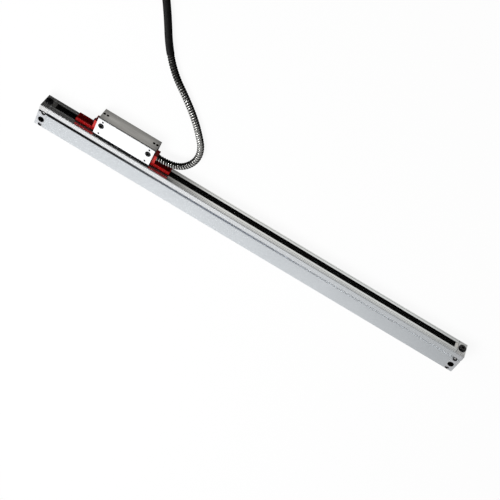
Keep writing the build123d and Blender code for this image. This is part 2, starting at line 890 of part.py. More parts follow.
def bracket(end_x, side, leg_low_z, leg_width):
    """Leg against the head's end face at end_x, tray on the side away from the head."""
    leg_x = sorted((end_x, end_x + side * bracket_leg))
    tray_start = end_x + side * bracket_leg
    tray_x = sorted((tray_start, tray_start + side * bracket_tray_length))
    hollow_x = sorted((tray_start + side * 0.2, tray_start + side * (bracket_tray_length - bracket_wall)))
    tray_z = (bracket_low_z, bracket_low_z + bracket_width)
    with BuildPart() as piece:
        add(block(tray_x, (tray_top_y, bracket_foot_y), tray_z))
        fillet(piece.edges().filter_by(Axis.Y), bracket_corner)
        add(block(leg_x, (bracket_foot_y - bracket_leg_top, bracket_foot_y), (leg_low_z, leg_low_z + leg_width)))
        fillet(piece.edges().filter_by(Axis.X).group_by(Axis.Y)[0], bracket_corner)
        add(
            block(
                hollow_x,
                (tray_top_y - 1, bracket_foot_y - bracket_wall),
                (tray_z[0] + bracket_wall, tray_z[1] - bracket_wall),
            ),
            mode=Mode.SUBTRACT,
        )
    return piece.part


left_bracket = bracket(left_end_x, 1, bracket_low_z, bracket_width)
fork_low_z = cable_exit_z - fork_width / 2
fork_bracket = bracket(right_end_x, -1, fork_low_z, fork_width)
fork_radius = ferrule_radius + fork_clearance

with BuildPart() as bracket_left:
    add(left_bracket)
    with Locations(Plane((left_end_x + bracket_leg, cable_exit_y, bracket_screw_z), z_dir=(1, 0, 0))):
        Hole(m3_screw[2] / 2 + screw_clearance)
write(bracket_left, "bracket_left")

# The right bracket's leg straddles the cable's ferrule and is open towards the mounting face
with BuildPart() as bracket_right:
    add(fork_bracket)
    with BuildSketch(Plane.YZ.offset(right_end_x)):
        with Locations((cable_exit_y, cable_exit_z)):
            Circle(fork_radius)
        with Locations((cable_exit_y, cable_exit_z - fork_width / 2)):
            Rectangle(2 * fork_radius, fork_width)
    extrude(amount=-bracket_leg, mode=Mode.SUBTRACT)
write(bracket_right, "bracket_right")

with BuildPart() as bracket_screw:
    with BuildSketch(Plane((left_end_x + bracket_leg, cable_exit_y, bracket_screw_z), z_dir=(1, 0, 0))):
        Circle(m3_screw[0] / 2)
    extrude(amount=bracket_screw_head)
    chamfer(bracket_screw.edges().group_by(Axis.X)[-1], 0.6)
    with BuildSketch(Plane((left_end_x + bracket_leg, cable_exit_y, bracket_screw_z), z_dir=(1, 0, 0))):
        Circle(m3_screw[2] / 2)
    extrude(amount=-(bracket_leg + 6.0))
    screw_face_x = left_end_x + bracket_leg + bracket_screw_head
    with BuildSketch(Plane((screw_face_x, cable_exit_y, bracket_screw_z), z_dir=(1, 0, 0))):
        RegularPolygon(m3_screw[3] / 2, 6, major_radius=False)
    extrude(amount=-bracket_screw_head / 2, mode=Mode.SUBTRACT)
write(bracket_screw, "bracket_screw")

# Ferrule of the armoured cable: a collar with a spigot pressed into the head
ferrule_length = bracket_leg + ferrule_reach
with BuildPart() as cable_ferrule:
    with BuildSketch(Plane.YZ.offset(right_end_x)):
        with Locations((cable_exit_y, cable_exit_z)):
            Circle(ferrule_radius)
    extrude(amount=-ferrule_length)
    chamfer(cable_ferrule.edges().group_by(Axis.X)[0], 0.4)
    with BuildSketch(Plane.YZ.offset(right_end_x)):
        with Locations((cable_exit_y, cable_exit_z)):
            Circle(spigot_radius)
    extrude(amount=spigot_length)
write(cable_ferrule, "cable_ferrule")

# Cable route: out of the ferrule, round and down to the table, away to the coil
cable_start_x = right_end_x - ferrule_length
lead_points = [
    (cable_start_x, cable_exit_y, cable_exit_z),
    (105.0, cable_exit_y, cable_exit_z),
    (91.5, -29.5, 8.2),
    (84.0, -43.0, 6.2),
    (85.5, -57.5, 4.3),
    (94.5, -71.0, 3.5),
    (106.0, -86.0, 3.5),
    (121.5, -101.5, 3.5),
    (140.0, -118.0, 3.5),
    (156.0, -142.0, 3.5),
    (168.0, -170.0, 3.5),
    (184.0, -202.0, 3.5),
    (201.0, -232.0, 3.5),
    (217.0, -264.0, 3.5),
]


def corner_radii(points):
    """Each corner's arc: 0.45 of the shorter run, divided by the tangent of half the turn."""
    radii = []
    for before, corner, after in zip(points, points[1:], points[2:]):
        arriving = Vector(corner) - Vector(before)
        leaving = Vector(after) - Vector(corner)
        half_turn = math.radians(arriving.get_angle(leaving) / 2)
        radii.append(0.45 * min(arriving.length, leaving.length) / math.tan(half_turn))
    return radii


def cable_tube(points, name):
    """A plain round tube along straight runs joined by tangent arcs."""
    radii = corner_radii(points)
    with BuildPart() as tube:
        with BuildLine() as path:
            FilletPolyline(*points, radius=radii)
        with BuildSketch(Plane(path.line @ 0, z_dir=path.line % 0)):
            Circle(cable_diameter / 2)
        sweep()
    path_length = path.wire().length
    expected = math.pi * cable_diameter**2 / 4 * path_length
    print(f"{name}: length {path_length:.1f}, radii {[round(r) for r in radii]}")
    print(f"{name}: volume {tube.part.volume:.0f}, section times length {expected:.0f}")
    return tube.part


lead_tube = cable_tube(lead_points, "cable")
with BuildPart() as cable:
    add(lead_tube)
write(cable, "cable")

# The coil: the outer shape of its rings and layers. The lead meets its outer ring as a tangent
coil_width = coil_rings * cable_diameter
coil_height = coil_layers * cable_diameter
lead_end = Vector(lead_points[-1])
lead_heading = (lead_end - Vector(lead_points[-2])).normalized()
outer_ring_radius = coil_mean_radius + (coil_rings - 1) / 2 * cable_diameter
coil_centre = lead_end + lead_heading.cross(Vector(0, 0, 1)) * outer_ring_radius
with BuildPart() as cable_coil:
    with BuildSketch(Plane((coil_centre.X, coil_centre.Y, 0), x_dir=(1, 0, 0), z_dir=(0, -1, 0))) as section:
        with Locations((coil_mean_radius, coil_height / 2)):
            Rectangle(coil_width, coil_height)
        chamfer(section.vertices(), cable_diameter / 4)
    revolve(axis=Axis((coil_centre.X, coil_centre.Y, 0), (0, 0, 1)))
write(cable_coil, "cable_coil")

# The tail: the last turn climbs onto the coil, goes round on top and runs into the plug
tail_points = [
    (150.0, -321.0, 17.5),
    (135.5, -307.0, 20.8),
    (127.5, -286.5, 23.8),
    (131.5, -264.5, 24.6),
    (148.5, -246.5, 24.6),
    (170.5, -238.5, 24.6),
    (191.5, -240.5, 24.6),
    (208.0, -251.0, 24.6),
    (217.5, -268.0, 25.2),
    (217.5, -287.5, 26.8),
    (208.5, -304.5, 28.6),
    (199.5, -310.6, 28.6),
]
tail_tube = cable_tube(tail_points, "cable_tail")
with BuildPart() as cable_tail:
    add(tail_tube)
write(cable_tail, "cable_tail")

# The plug lies flat on the coil. Places along it are measured from the hood's rear face
plug_start = Vector(tail_points[-1])
plug_heading = (plug_start - Vector(tail_points[-2])).normalized()
across = plug_heading.cross(Vector(0, 0, 1))
plug_plane = Plane(plug_start, x_dir=across, z_dir=plug_heading)
hood_plane = Plane(plug_start, x_dir=across, z_dir=(0, 0, 1))
shoulder_end = hood_neck_length + hood_shoulder
cavity_half_width = thumbscrew_offset - thumbscrew_radius - hood_wall
hood_inner_height = hood_height / 2 - hood_wall
hood_screw_spots = [(side * hood_screw_x, shoulder_end + 4.0) for side in (-1, 1)]
thumbscrew_spots = [(side * thumbscrew_offset, 0) for side in (-1, 1)]


def hood_half(side):
    """Half a hood: side is 1 for the upper half and -1 for the lower one."""
    with BuildPart() as half:
        with BuildSketch(hood_plane):
            with Locations((0, hood_neck_length / 2)):
                Rectangle(hood_neck_width, hood_neck_length)
            with Locations((0, (hood_neck_length + hood_length) / 2)):
                Rectangle(hood_width, hood_length - hood_neck_length)
        extrude(amount=side * hood_height / 2)
        chamfer(half.edges().filter_by(Axis.Z), 1.0)
        chamfer(half.faces().sort_by(Axis.Z)[-1 if side > 0 else 0].edges(), 0.8)
        with BuildSketch(hood_plane):
            with Locations((0, (hood_wall + shoulder_end) / 2)):
                Rectangle(hood_neck_width - 2 * hood_wall, shoulder_end - hood_wall)
            with Locations((0, (shoulder_end + hood_length) / 2)):
                Rectangle(2 * cavity_half_width, hood_length - shoulder_end)
        extrude(amount=side * hood_inner_height, mode=Mode.SUBTRACT)
        with BuildSketch(hood_plane):
            with Locations(*hood_screw_spots):
                Circle(screw_post_radius)
        extrude(amount=side * hood_inner_height)
        with BuildSketch(plug_plane.offset(-1)):
            Circle(core_hole_radius)
        extrude(amount=hood_wall + 2, mode=Mode.SUBTRACT)
        with BuildSketch(plug_plane.offset(hood_neck_length - 1)):
            with Locations(*thumbscrew_spots):
                Circle(thumbscrew_radius + thumbscrew_clearance)
        extrude(amount=hood_length, mode=Mode.SUBTRACT)
    return half.part


lower_half = hood_half(-1)
upper_half = hood_half(1)
hood_screw_seat = hood_plane.offset(hood_height / 2 - hood_screw_head - 0.1)

with BuildPart() as plug_hood:
    add(lower_half)
    with BuildSketch(hood_plane):
        with Locations(*hood_screw_spots):
            Circle(hood_screw_radius + 0.05)
    extrude(amount=-hood_screw_length, mode=Mode.SUBTRACT)
write(plug_hood, "plug_hood")

with BuildPart() as plug_hood_lid:
    add(upper_half)
    with BuildSketch(hood_plane):
        with Locations(*hood_screw_spots):
            Circle(hood_screw_radius + 0.05)
    extrude(amount=hood_height, mode=Mode.SUBTRACT)
    with BuildSketch(hood_screw_seat):
        with Locations(*hood_screw_spots):
            Circle(hood_screw_head_radius + 0.1)
    extrude(amount=hood_height, mode=Mode.SUBTRACT)
write(plug_hood_lid, "plug_hood_lid")

with BuildPart() as hood_screws:
    with BuildSketch(hood_screw_seat):
        with Locations(*hood_screw_spots):
            Circle(hood_screw_head_radius)
    extrude(amount=hood_screw_head)
    with BuildSketch(hood_screw_seat.offset(hood_screw_head)):
        with Locations(*hood_screw_spots):
            Rectangle(hood_screw_head_radius * 1.6, 0.5)
            Rectangle(0.5, hood_screw_head_radius * 1.6)
    extrude(amount=-hood_screw_head / 2, mode=Mode.SUBTRACT)
    with BuildSketch(hood_screw_seat):
        with Locations(*hood_screw_spots):
            Circle(hood_screw_radius)
    extrude(amount=-(hood_height / 2 - hood_screw_head + hood_screw_length - 0.5))
write(hood_screws, "hood_screws")

# Nut on the hood's rear that grips the cable's armour
with BuildPart() as plug_nut:
    with BuildSketch(plug_plane):
        Circle(nut_radius)
        Circle(cable_diameter / 2 + 0.1, mode=Mode.SUBTRACT)
    extrude(amount=-nut_length)
    chamfer(plug_nut.edges().filter_by(GeomType.CIRCLE).sort_by(SortBy.RADIUS)[-2:], 0.6)
write(plug_nut, "plug_nut")


def shell_outline(inset, corner):
    """The plug's D outline, drawn in by inset all round, with rounded corners."""
    half_width = shell_width / 2 - inset
    half_height = shell_height / 2 - inset
    slant = math.tan(math.radians(10)) * 2 * half_height
    with BuildSketch() as outline:
        with BuildLine():
            Polyline(
                (-half_width, half_height),
                (half_width, half_height),
                (half_width - slant, -half_height),
                (-half_width + slant, -half_height),
                close=True,
            )
        make_face()
        fillet(outline.vertices(), corner)
    return outline.sketch


outside_outline = shell_outline(0, shell_corner)
inside_outline = shell_outline(shell_wall, shell_corner - shell_wall)
insert_outline = shell_outline(shell_wall + insert_gap, shell_corner - shell_wall)
face_plane = plug_plane.offset(hood_length)
with BuildPart() as plug_shell:
    with BuildSketch(face_plane):
        RectangleRounded(hood_width - 0.6, flange_height, 1.5)
    extrude(amount=flange_thickness)
    with BuildSketch(face_plane.offset(flange_thickness)):
        add(outside_outline)
    extrude(amount=shell_length)
    with BuildSketch(face_plane):
        add(inside_outline)
    extrude(amount=flange_thickness + shell_length, mode=Mode.SUBTRACT)
    with BuildSketch(face_plane):
        with Locations(*thumbscrew_spots):
            Circle(thumbscrew_radius + thumbscrew_clearance)
    extrude(amount=flange_thickness, mode=Mode.SUBTRACT)
write(plug_shell, "plug_shell")

pin_spots = [
    ((column - (count - 1) / 2) * pin_pitch, row)
    for count, row in ((upper_row_pins, pin_row_height), (lower_row_pins, -pin_row_height))
    for column in range(count)
]
pin_front = flange_thickness + shell_length - 0.6
insert_front = flange_thickness + 0.8
with BuildPart() as plug_pins:
    with BuildSketch(face_plane.offset(-insert_back - pin_tail)):
        with Locations(*pin_spots):
            Circle(pin_radius)
    extrude(amount=insert_back + pin_tail + pin_front)
write(plug_pins, "plug_pins")

with BuildPart() as plug_insert:
    with BuildSketch(face_plane.offset(-insert_back)):
        add(insert_outline)
    extrude(amount=insert_back + insert_front)
    with BuildSketch(face_plane.offset(-insert_back)):
        with Locations(*pin_spots):
            Circle(pin_radius)
    extrude(amount=insert_back + insert_front, mode=Mode.SUBTRACT)
write(plug_insert, "plug_insert")

# Thumbscrews: a ribbed knob behind the shoulder, a plain rod through the hood and the flange
knob_start = hood_neck_length - knob_gap - knob_length
rod_end = hood_length + flange_thickness + shell_length - 1.0
for screw_name, spot in zip(("thumbscrew_left", "thumbscrew_right"), thumbscrew_spots):
    with BuildPart() as thumbscrew:
        with BuildSketch(plug_plane.offset(knob_start)):
            with Locations(spot):
                Circle(knob_radius)
                with PolarLocations(knob_radius, knob_ribs):
                    Circle(knob_groove_radius, mode=Mode.SUBTRACT)
        extrude(amount=knob_length)
        with BuildSketch(plug_plane.offset(knob_start + knob_length)):
            with Locations(spot):
                Circle(thumbscrew_radius)
        extrude(amount=rod_end - knob_start - knob_length)
    write(thumbscrew, screw_name)
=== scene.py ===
"""Looks of the linear glass scale: finishes of every piece, the armoured hose, the studio and the camera."""

import json
import math

import bmesh
import bpy
import numpy as np
from mathutils import Matrix, Vector
from mathutils.bvhtree import BVHTree

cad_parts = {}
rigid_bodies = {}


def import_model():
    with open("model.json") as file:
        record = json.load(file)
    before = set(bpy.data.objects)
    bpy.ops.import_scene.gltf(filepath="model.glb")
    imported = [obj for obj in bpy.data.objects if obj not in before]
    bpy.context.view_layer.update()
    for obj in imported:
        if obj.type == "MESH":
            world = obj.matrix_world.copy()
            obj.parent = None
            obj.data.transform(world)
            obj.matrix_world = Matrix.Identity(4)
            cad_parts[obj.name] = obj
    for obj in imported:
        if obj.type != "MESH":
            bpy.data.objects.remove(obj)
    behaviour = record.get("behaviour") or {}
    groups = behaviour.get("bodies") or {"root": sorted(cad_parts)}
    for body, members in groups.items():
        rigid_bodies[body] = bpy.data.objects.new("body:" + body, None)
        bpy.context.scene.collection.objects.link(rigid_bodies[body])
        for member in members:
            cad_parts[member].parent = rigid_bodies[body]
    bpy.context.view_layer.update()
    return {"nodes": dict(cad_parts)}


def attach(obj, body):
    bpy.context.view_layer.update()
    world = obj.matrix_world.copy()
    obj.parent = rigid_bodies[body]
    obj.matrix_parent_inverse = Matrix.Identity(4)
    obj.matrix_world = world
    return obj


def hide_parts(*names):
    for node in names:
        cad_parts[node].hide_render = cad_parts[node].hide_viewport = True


for start_up in list(bpy.data.objects):
    bpy.data.objects.remove(start_up)
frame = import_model()
MM = 0.001

# Camera, solved from six corners of the scale unit in the photograph
CAMERA_PLACE = Vector((27.86, -738.23, 808.10)) * MM
CAMERA_RIGHT = Vector((-0.85798, -0.39053, -0.33370))
CAMERA_FORWARD = Vector((-0.03147, 0.68836, -0.72469))
FOCAL_PIXELS = 1080.0
PHOTO_PIXELS = 500.0
SENSOR = 36.0

# Floor: its own colour, and how white the camera sees it
FLOOR_SIZE = 12
FLOOR_HEIGHT = -0.2 * MM
FLOOR_COLOUR = 0.85
FLOOR_BOUNCE = 0.32
FLOOR_ROUGHNESS = 0.9
FLOOR_WHITE_SHARE = 0.92
# Painted reflection: the floor glows to gloss alone, at levels that paint light and shade into what metal
# mirrors. Close to the unit: a fall along X, in millimetres, between two levels, darker at the +X end
FLOOR_NEAR_FALL = (30, 130)
FLOOR_NEAR_LEVEL = (0.86, 0.05)
FLOOR_NEAR_END = (-245, -170)
FLOOR_NEAR_END_SHARE = 0.70
FLOOR_NEAR_EDGE = (-35.0, -32.5)
# Painted reflection further off: the same, painted darker in front, and a round painted shadow where the hose
# shades the floor, in metres; last the tint of the painted reflection
FLOOR_SIDE_FALL = (180, 202)
FLOOR_SIDE_LEVEL = (0.76, 0.035)
FLOOR_FRONT_FALL = (-62, -50)
FLOOR_FRONT_SHARE = 0.05
FLOOR_PAINTED_SHADOW_PLACE = (0.095, -0.052, 0.0)
FLOOR_PAINTED_SHADOW_REACH = (0.022, 0.040)
FLOOR_PAINTED_SHADOW_SHARE = 0.1
FLOOR_TINT = (1.0, 0.98, 0.93, 1)

# Cards that only metal and gloss mirror, in metres; the softbox's rise along X is in millimetres
SOFTBOX_SPAN_X = (-0.55, 0.50)
SOFTBOX_SPAN_Y = (0.29, 0.75)
SOFTBOX_HEIGHT = 0.4
SOFTBOX_RISE = (-600, 150)
SOFTBOX_LEVEL = (0.54, 1.13)
LOW_CARD_SPAN_X = (-0.35, 1.0)
LOW_CARD_SPAN_Z = (0.14, 0.40)
LOW_CARD_Y = 0.80
LOW_CARD_LEVEL = 1.5
SPARK_PLACE = (0.70, -0.36, 0.70)
SPARK_SIZE = 0.16
SPARK_LEVEL = 40.0

# Surroundings: a rise towards one direction behind the object, and a patch of light in front of it
WORLD_BEHIND = (0.25, 0.68, 0.69)
WORLD_BEHIND_REACH = (0.5, 1.0)
WORLD_LEVEL = (0.03, 0.30)
WORLD_FRONT = (-0.35, -0.66, 0.66)
WORLD_FRONT_REACH = (0.89, 0.96)
WORLD_FRONT_LEVEL = 0.45

# Soft square lamps, in metres and watts: place, target, size, power
LAMPS = {
    "key": ((0.45, 0.55, 1.3), (0.1, 0, 0), 0.9, 24),
    "fill": ((-0.7, -0.7, 0.7), (-0.1, 0, 0), 0.7, 1.4),
    "side": ((0.85, -0.17, 0.46), (0.15, 0, 0), 0.30, 1.0),
}

# Finishes in general: softly rounded edges, broad patches of tone and the depth of the grain in millimetres
BEVEL_SAMPLES = 4
PATCH_SCALE = 30.0
PATCH_DETAIL = 2.0
PATCH_SHARE = 0.25
GRAIN_DETAIL = 4.0
GRAIN_DEPTH = 0.02
NOISE_RANGE = (0.3, 0.7)

# Places along one axis of the solids, in millimetres, where finishes and painted light and shade change
# Painted light: the band beside the slot face and its fade along X
BAND_EDGE = (-7.3, -6.9)
BAND_FADE = (-150, 210)
# Painted shade along the groove: its reach each side of the groove's middle, its fade, and where it fades out
# and turns black along X
GROOVE_PAINTED_SHADE_REACH = 1.7
GROOVE_PAINTED_SHADE_FADE = 0.2
GROOVE_FADE = (-110, 50)
GROOVE_PAINTED_BLACK_SPAN = (50, 200)
# Painted shade at the foot of the head
HEAD_FOOT = (1.0, 9.0)
# Painted shade deep in the red trays, and the edge of painted light on the legs
PAINTED_TRAY_SHADE_SPAN = (-14.9, -14.0)
LEG_EDGE = (-19.0, -17.5)
# Painted dark reflection on the hose next to the sleeve
PAINTED_DARK_REFLECTION_NEAR = (-118, -98)
PAINTED_DARK_REFLECTION_FAR = (-175, -160)
# Painted light on the hose's bend next to the head
BEND_PAINTED_LIGHT_SPAN = (-88, -66)
BEND_END = (-44, -34)
# Where painted shade on the hose's front and underside starts and ends
BEND_FRONT_START = (-58, -40)
UNDERSIDE_END = (-200, -165)

# Parts of a surface's normal between which finishes and painted shade change
SLOT_FACE = (-0.98, -0.90)
# Painted shade on the hose's underside and on the front of its bend
UNDERSIDE = (0.30, 0.68)
BEND_FRONT = (0.62, 0.92)

# Shares and tones at those places: the roughnesses and the glass are finishes; the other shares and tones are
# painted light and shade
BAND_LOW_SHARE = 0.15
BAND_ROUGHNESS = 0.30
END_BAND_ROUGHNESS = 0.28
SLOT_FACE_ROUGHNESS = 0.17
# Painted shade along the groove's edges and at the head's foot, painted light in the bend, painted shade on
# the hose's underside
GROOVE_PAINTED_SHADE_SHARE = (0.3, 0.9)
HEAD_FOOT_PAINTED_SHADE_SHARE = 0.55
BEND_PAINTED_LIGHT_SHARE = 0.9
UNDERSIDE_PAINTED_SHADE_SHARE = 0.93
BAND_PAINTED_LIGHT_TONE = (0.87, 0.88, 0.89)
END_BAND_PAINTED_LIGHT_TONE = (0.80, 0.80, 0.80)
GROOVE_PAINTED_SHADE_TONE = (0.03, 0.03, 0.035)
GROOVE_FADE_TONE = (0.52, 0.55, 0.60)
GROOVE_PAINTED_BLACK_TONE = (0.012, 0.012, 0.014)
HEAD_FOOT_PAINTED_SHADE_TONE = (0.15, 0.15, 0.15)
LEG_PAINTED_LIGHT_TONE = (0.50, 0.030, 0.028)
PAINTED_TRAY_SHADE_TONE = (0.05, 0.001, 0.001)
# Painted dark reflection, painted light in the bend and painted shade on the hose's underside
PAINTED_DARK_REFLECTION_TONE = (0.10, 0.10, 0.095)
BEND_PAINTED_LIGHT_TONE = (0.34, 0.34, 0.33)
UNDERSIDE_PAINTED_SHADE_TONE = (0.006, 0.006, 0.005)
GLASS_TRANSMISSION = 0.9
GLASS_IOR = 1.5
GLASS_ROUGHNESS = (0.02, 0.06)
GLASS_FILM_SCALE = 60

# Groove, slot side of the head and narrow places of the solids, in millimetres, which take painted shade
GROOVE_Y = -5.9
GROOVE_WIDTH = 2.1
GROOVE_FLOOR = 17.9
BODY_TOP = 19.5
HEAD_BACK = -15.8
NARROW_REACH = 9.0
RAY_START = 0.02
GROOVE_MARGIN = 0.05
PLACE_MARGIN = 0.1
# Least part of the normal along +Y for a face that looks back at the unit
FACES_BACK = 0.9

# Finishes by name: colours between dark and light, share of metal, range of roughness, and what isn't usual
FINISHES = {
    "anodised_aluminium": dict(
        dark=(0.69, 0.725, 0.755),
        light=(0.79, 0.82, 0.85),
        metallic=0.9,
        roughness=(0.33, 0.37),
        scale=1500,
        bump=0.02,
    ),
    "end_block_aluminium": dict(
        dark=(0.69, 0.71, 0.74),
        light=(0.79, 0.805, 0.83),
        metallic=0.9,
        roughness=(0.32, 0.36),
        scale=1200,
        bump=0.02,
    ),
    "brushed_aluminium": dict(
        dark=(0.34, 0.335, 0.335),
        light=(0.60, 0.60, 0.595),
        metallic=0.8,
        roughness=(0.3, 0.38),
        stretch=(0.03, 1, 1),
        scale=1400,
        bump=0.04,
    ),
    "cover_plate": dict(
        dark=(0.86, 0.87, 0.89),
        light=(0.93, 0.93, 0.94),
        metallic=0.1,
        roughness=(0.35, 0.45),
    ),
    "red_plastic": dict(
        dark=(0.25, 0.003, 0.003),
        light=(0.32, 0.005, 0.005),
        roughness=(0.24, 0.34),
        scale=500,
        bump=0.04,
        edge=0.25,
        specular=0.2,
    ),
    "black_rubber": dict(
        dark=(0.002, 0.002, 0.002),
        light=(0.005, 0.005, 0.005),
        roughness=(0.55, 0.7),
        stretch=(0.2, 1, 1),
        scale=700,
        bump=0.15,
        edge=0.1,
        specular=0.12,
    ),
    "sleeve_rubber": dict(
        dark=(0.004, 0.004, 0.004),
        light=(0.009, 0.009, 0.009),
        roughness=(0.42, 0.52),
        scale=400,
        bump=0.1,
        specular=0.3,
    ),
    "pale_seal": dict(
        dark=(0.38, 0.39, 0.40),
        light=(0.50, 0.51, 0.52),
        roughness=(0.5, 0.6),
    ),
    "black_oxide": dict(
        dark=(0.004, 0.004, 0.005),
        light=(0.010, 0.010, 0.012),
        roughness=(0.14, 0.22),
        scale=1500,
        bump=0.03,
        edge=0.5,
        specular=0.35,
    ),
    "bright_steel": dict(
        dark=(0.62, 0.62, 0.62),
        light=(0.78, 0.78, 0.78),
        metallic=1,
        roughness=(0.12, 0.22),
        scale=800,
    ),
    "ground_steel": dict(
        dark=(0.45, 0.45, 0.46),
        light=(0.60, 0.60, 0.61),
        metallic=0.9,
        roughness=(0.2, 0.32),
        stretch=(1, 1, 0.1),
    ),
    "armour_steel": dict(
        dark=(0.80, 0.80, 0.77),
        light=(0.94, 0.94, 0.91),
        metallic=0.85,
        roughness=(0.24, 0.34),
        scale=700,
        bump=0.02,
    ),
    # Painted shade in the laps of the armour
    "armour_lap_painted_shade": dict(
        dark=(0.006, 0.006, 0.006),
        light=(0.014, 0.014, 0.014),
        metallic=0.5,
        roughness=(0.45, 0.6),
        scale=700,
        specular=0.2,
    ),
    "circuit_board": dict(
        dark=(0.01, 0.10, 0.04),
        light=(0.03, 0.20, 0.08),
        roughness=(0.3, 0.45),
        scale=400,
        bump=0.2,
    ),
    "gold_plate": dict(
        dark=(0.75, 0.50, 0.16),
        light=(0.90, 0.66, 0.26),
        metallic=1,
        roughness=(0.15, 0.25),
    ),
    "hood_coat": dict(
        dark=(0.10, 0.10, 0.11),
        light=(0.16, 0.16, 0.17),
        metallic=0.2,
        roughness=(0.42, 0.55),
        scale=1200,
        bump=0.5,
        edge=0.3,
    ),
    "black_moulding": dict(
        dark=(0.015, 0.015, 0.016),
        light=(0.03, 0.03, 0.032),
        roughness=(0.4, 0.5),
        scale=600,
    ),
    # Painted shade inside holes and narrow gaps
    "bore_painted_shade": dict(
        dark=(0.003, 0.003, 0.003),
        light=(0.008, 0.008, 0.008),
        roughness=(0.6, 0.8),
        specular=0.1,
    ),
    # The groove: the body's colour, with painted shade laid over it
    "groove_painted_shade": dict(
        dark=(0.80, 0.82, 0.84),
        light=(0.86, 0.88, 0.90),
        metallic=0.15,
        roughness=(0.4, 0.5),
    ),
}

# Pieces that have a finish as it stands in the table above
PLAIN_PIECES = {
    "cover_plate": ["head_cover"],
    "black_rubber": [
        "glass_clamp_cord",
        "buffer_left",
        "buffer_right",
        "upper_seal_lip",
        "lower_seal_lip",
        "cover_gasket",
    ],
    "pale_seal": ["end_gasket_left", "end_gasket_right"],
    "black_oxide": [
        "slot_face_screws",
        "end_screws",
        "head_mount_screws",
        "cover_screws",
        "blade_screws",
        "bracket_screw",
        "air_inlet_rings",
    ],
    "bright_steel": ["lip_clamps", "air_inlet_pins"],
    "ground_steel": [
        "blade",
        "roller_pins",
        "face_roller_1",
        "face_roller_2",
        "face_roller_3",
        "edge_roller_1",
        "edge_roller_2",
        "plug_nut",
        "plug_shell",
        "hood_screws",
        "thumbscrew_left",
        "thumbscrew_right",
    ],
    "circuit_board": ["signal_board", "detector_board"],
    "gold_plate": ["plug_pins"],
    "hood_coat": ["plug_hood", "plug_hood_lid"],
    "black_moulding": ["plug_insert"],
}
# Kinds of glass: tint and pieces
GLASS_PIECES = {
    "scale_glass": ((0.80, 0.92, 0.88), ["glass_scale"]),
    "optics_glass": ((0.90, 0.95, 0.97), ["emitter", "collimator_lens", "index_grating"]),
}
# Pieces with holes and narrow gaps that get painted shade inside
BORED_PIECES = ["scale_housing", "end_block_left", "end_block_right", "head_block", "head_cover"]

# Cable, the same route as the solids: its length in metres, all else in millimetres
CABLE_DIAMETER = 7.0
LEAD_POINTS = [
    (118.7, -22.6, 8.8),
    (105.0, -22.6, 8.8),
    (91.5, -29.5, 8.2),
    (84.0, -43.0, 6.2),
    (85.5, -57.5, 4.3),
    (94.5, -71.0, 3.5),
    (106.0, -86.0, 3.5),
    (121.5, -101.5, 3.5),
    (140.0, -118.0, 3.5),
    (156.0, -142.0, 3.5),
    (168.0, -170.0, 3.5),
    (184.0, -202.0, 3.5),
    (201.0, -232.0, 3.5),
    (217.0, -264.0, 3.5),
]
TAIL_POINTS = [
    (150.0, -321.0, 17.5),
    (135.5, -307.0, 20.8),
    (127.5, -286.5, 23.8),
    (131.5, -264.5, 24.6),
    (148.5, -246.5, 24.6),
    (170.5, -238.5, 24.6),
    (191.5, -240.5, 24.6),
    (208.0, -251.0, 24.6),
    (217.5, -268.0, 25.2),
    (217.5, -287.5, 26.8),
    (208.5, -304.5, 28.6),
    (199.5, -310.6, 28.6),
]
COIL_RINGS = 3
COIL_LAYERS = 3
COIL_MEAN_RADIUS = 45.5
COIL_STEPS = 12
RING_CHANGE_STEPS = 3
# Steps of the coil left free before the tail
COIL_END_GAP = 0.6
ROUTE_ORDER = 3
ROUTE_RESOLUTION = 24
HEADING_REACH = 0.4
HOSE_PITCH = 2.6
HOSE_SIDES = 18
HOSE_WELD = 0.004
PATH_POINTS_PER_PITCH = 4
# Across one strip of the armour: share of the pitch, radius as a share of the hose's
HOSE_PROFILE = [
    (0.0, 0.82),
    (0.14, 0.84),
    (0.24, 0.95),
    (0.40, 1.0),
    (0.62, 1.0),
    (0.78, 0.95),
    (0.88, 0.84),
]
# Columns of that profile, counted from 0, that are the strip's bright crown; the other columns take the
# painted shade of the laps
HOSE_CROWN = (2, 3, 4)
# Black sleeve over the armour: from and to along the route, radius, rounding of its ends
SLEEVE_SPAN = (160.3, 228.0)
SLEEVE_RADIUS = 3.68
SLEEVE_ROUNDING = 0.5
SLEEVE_ROUNDING_STEPS = 5
SLEEVE_SIDES = 32
# Rings of the sleeve between its ends: from its start, from its end, and from ring to ring
SLEEVE_FIRST_RING = 2
SLEEVE_LAST_RING = 1
SLEEVE_RING_STEP = 1.5


def make_camera():
    """The photograph's camera."""
    data = bpy.data.cameras.new("camera")
    data.sensor_width = SENSOR
    data.lens = FOCAL_PIXELS * SENSOR / PHOTO_PIXELS
    camera = bpy.data.objects.new("camera", data)
    right = CAMERA_RIGHT.normalized()
    back = -CAMERA_FORWARD.normalized()
    up = back.cross(right).normalized()
    turn = Matrix((right, up, back)).transposed()
    camera.matrix_world = Matrix.Translation(CAMERA_PLACE) @ turn.to_4x4()
    bpy.context.collection.objects.link(camera)
    bpy.context.scene.camera = camera


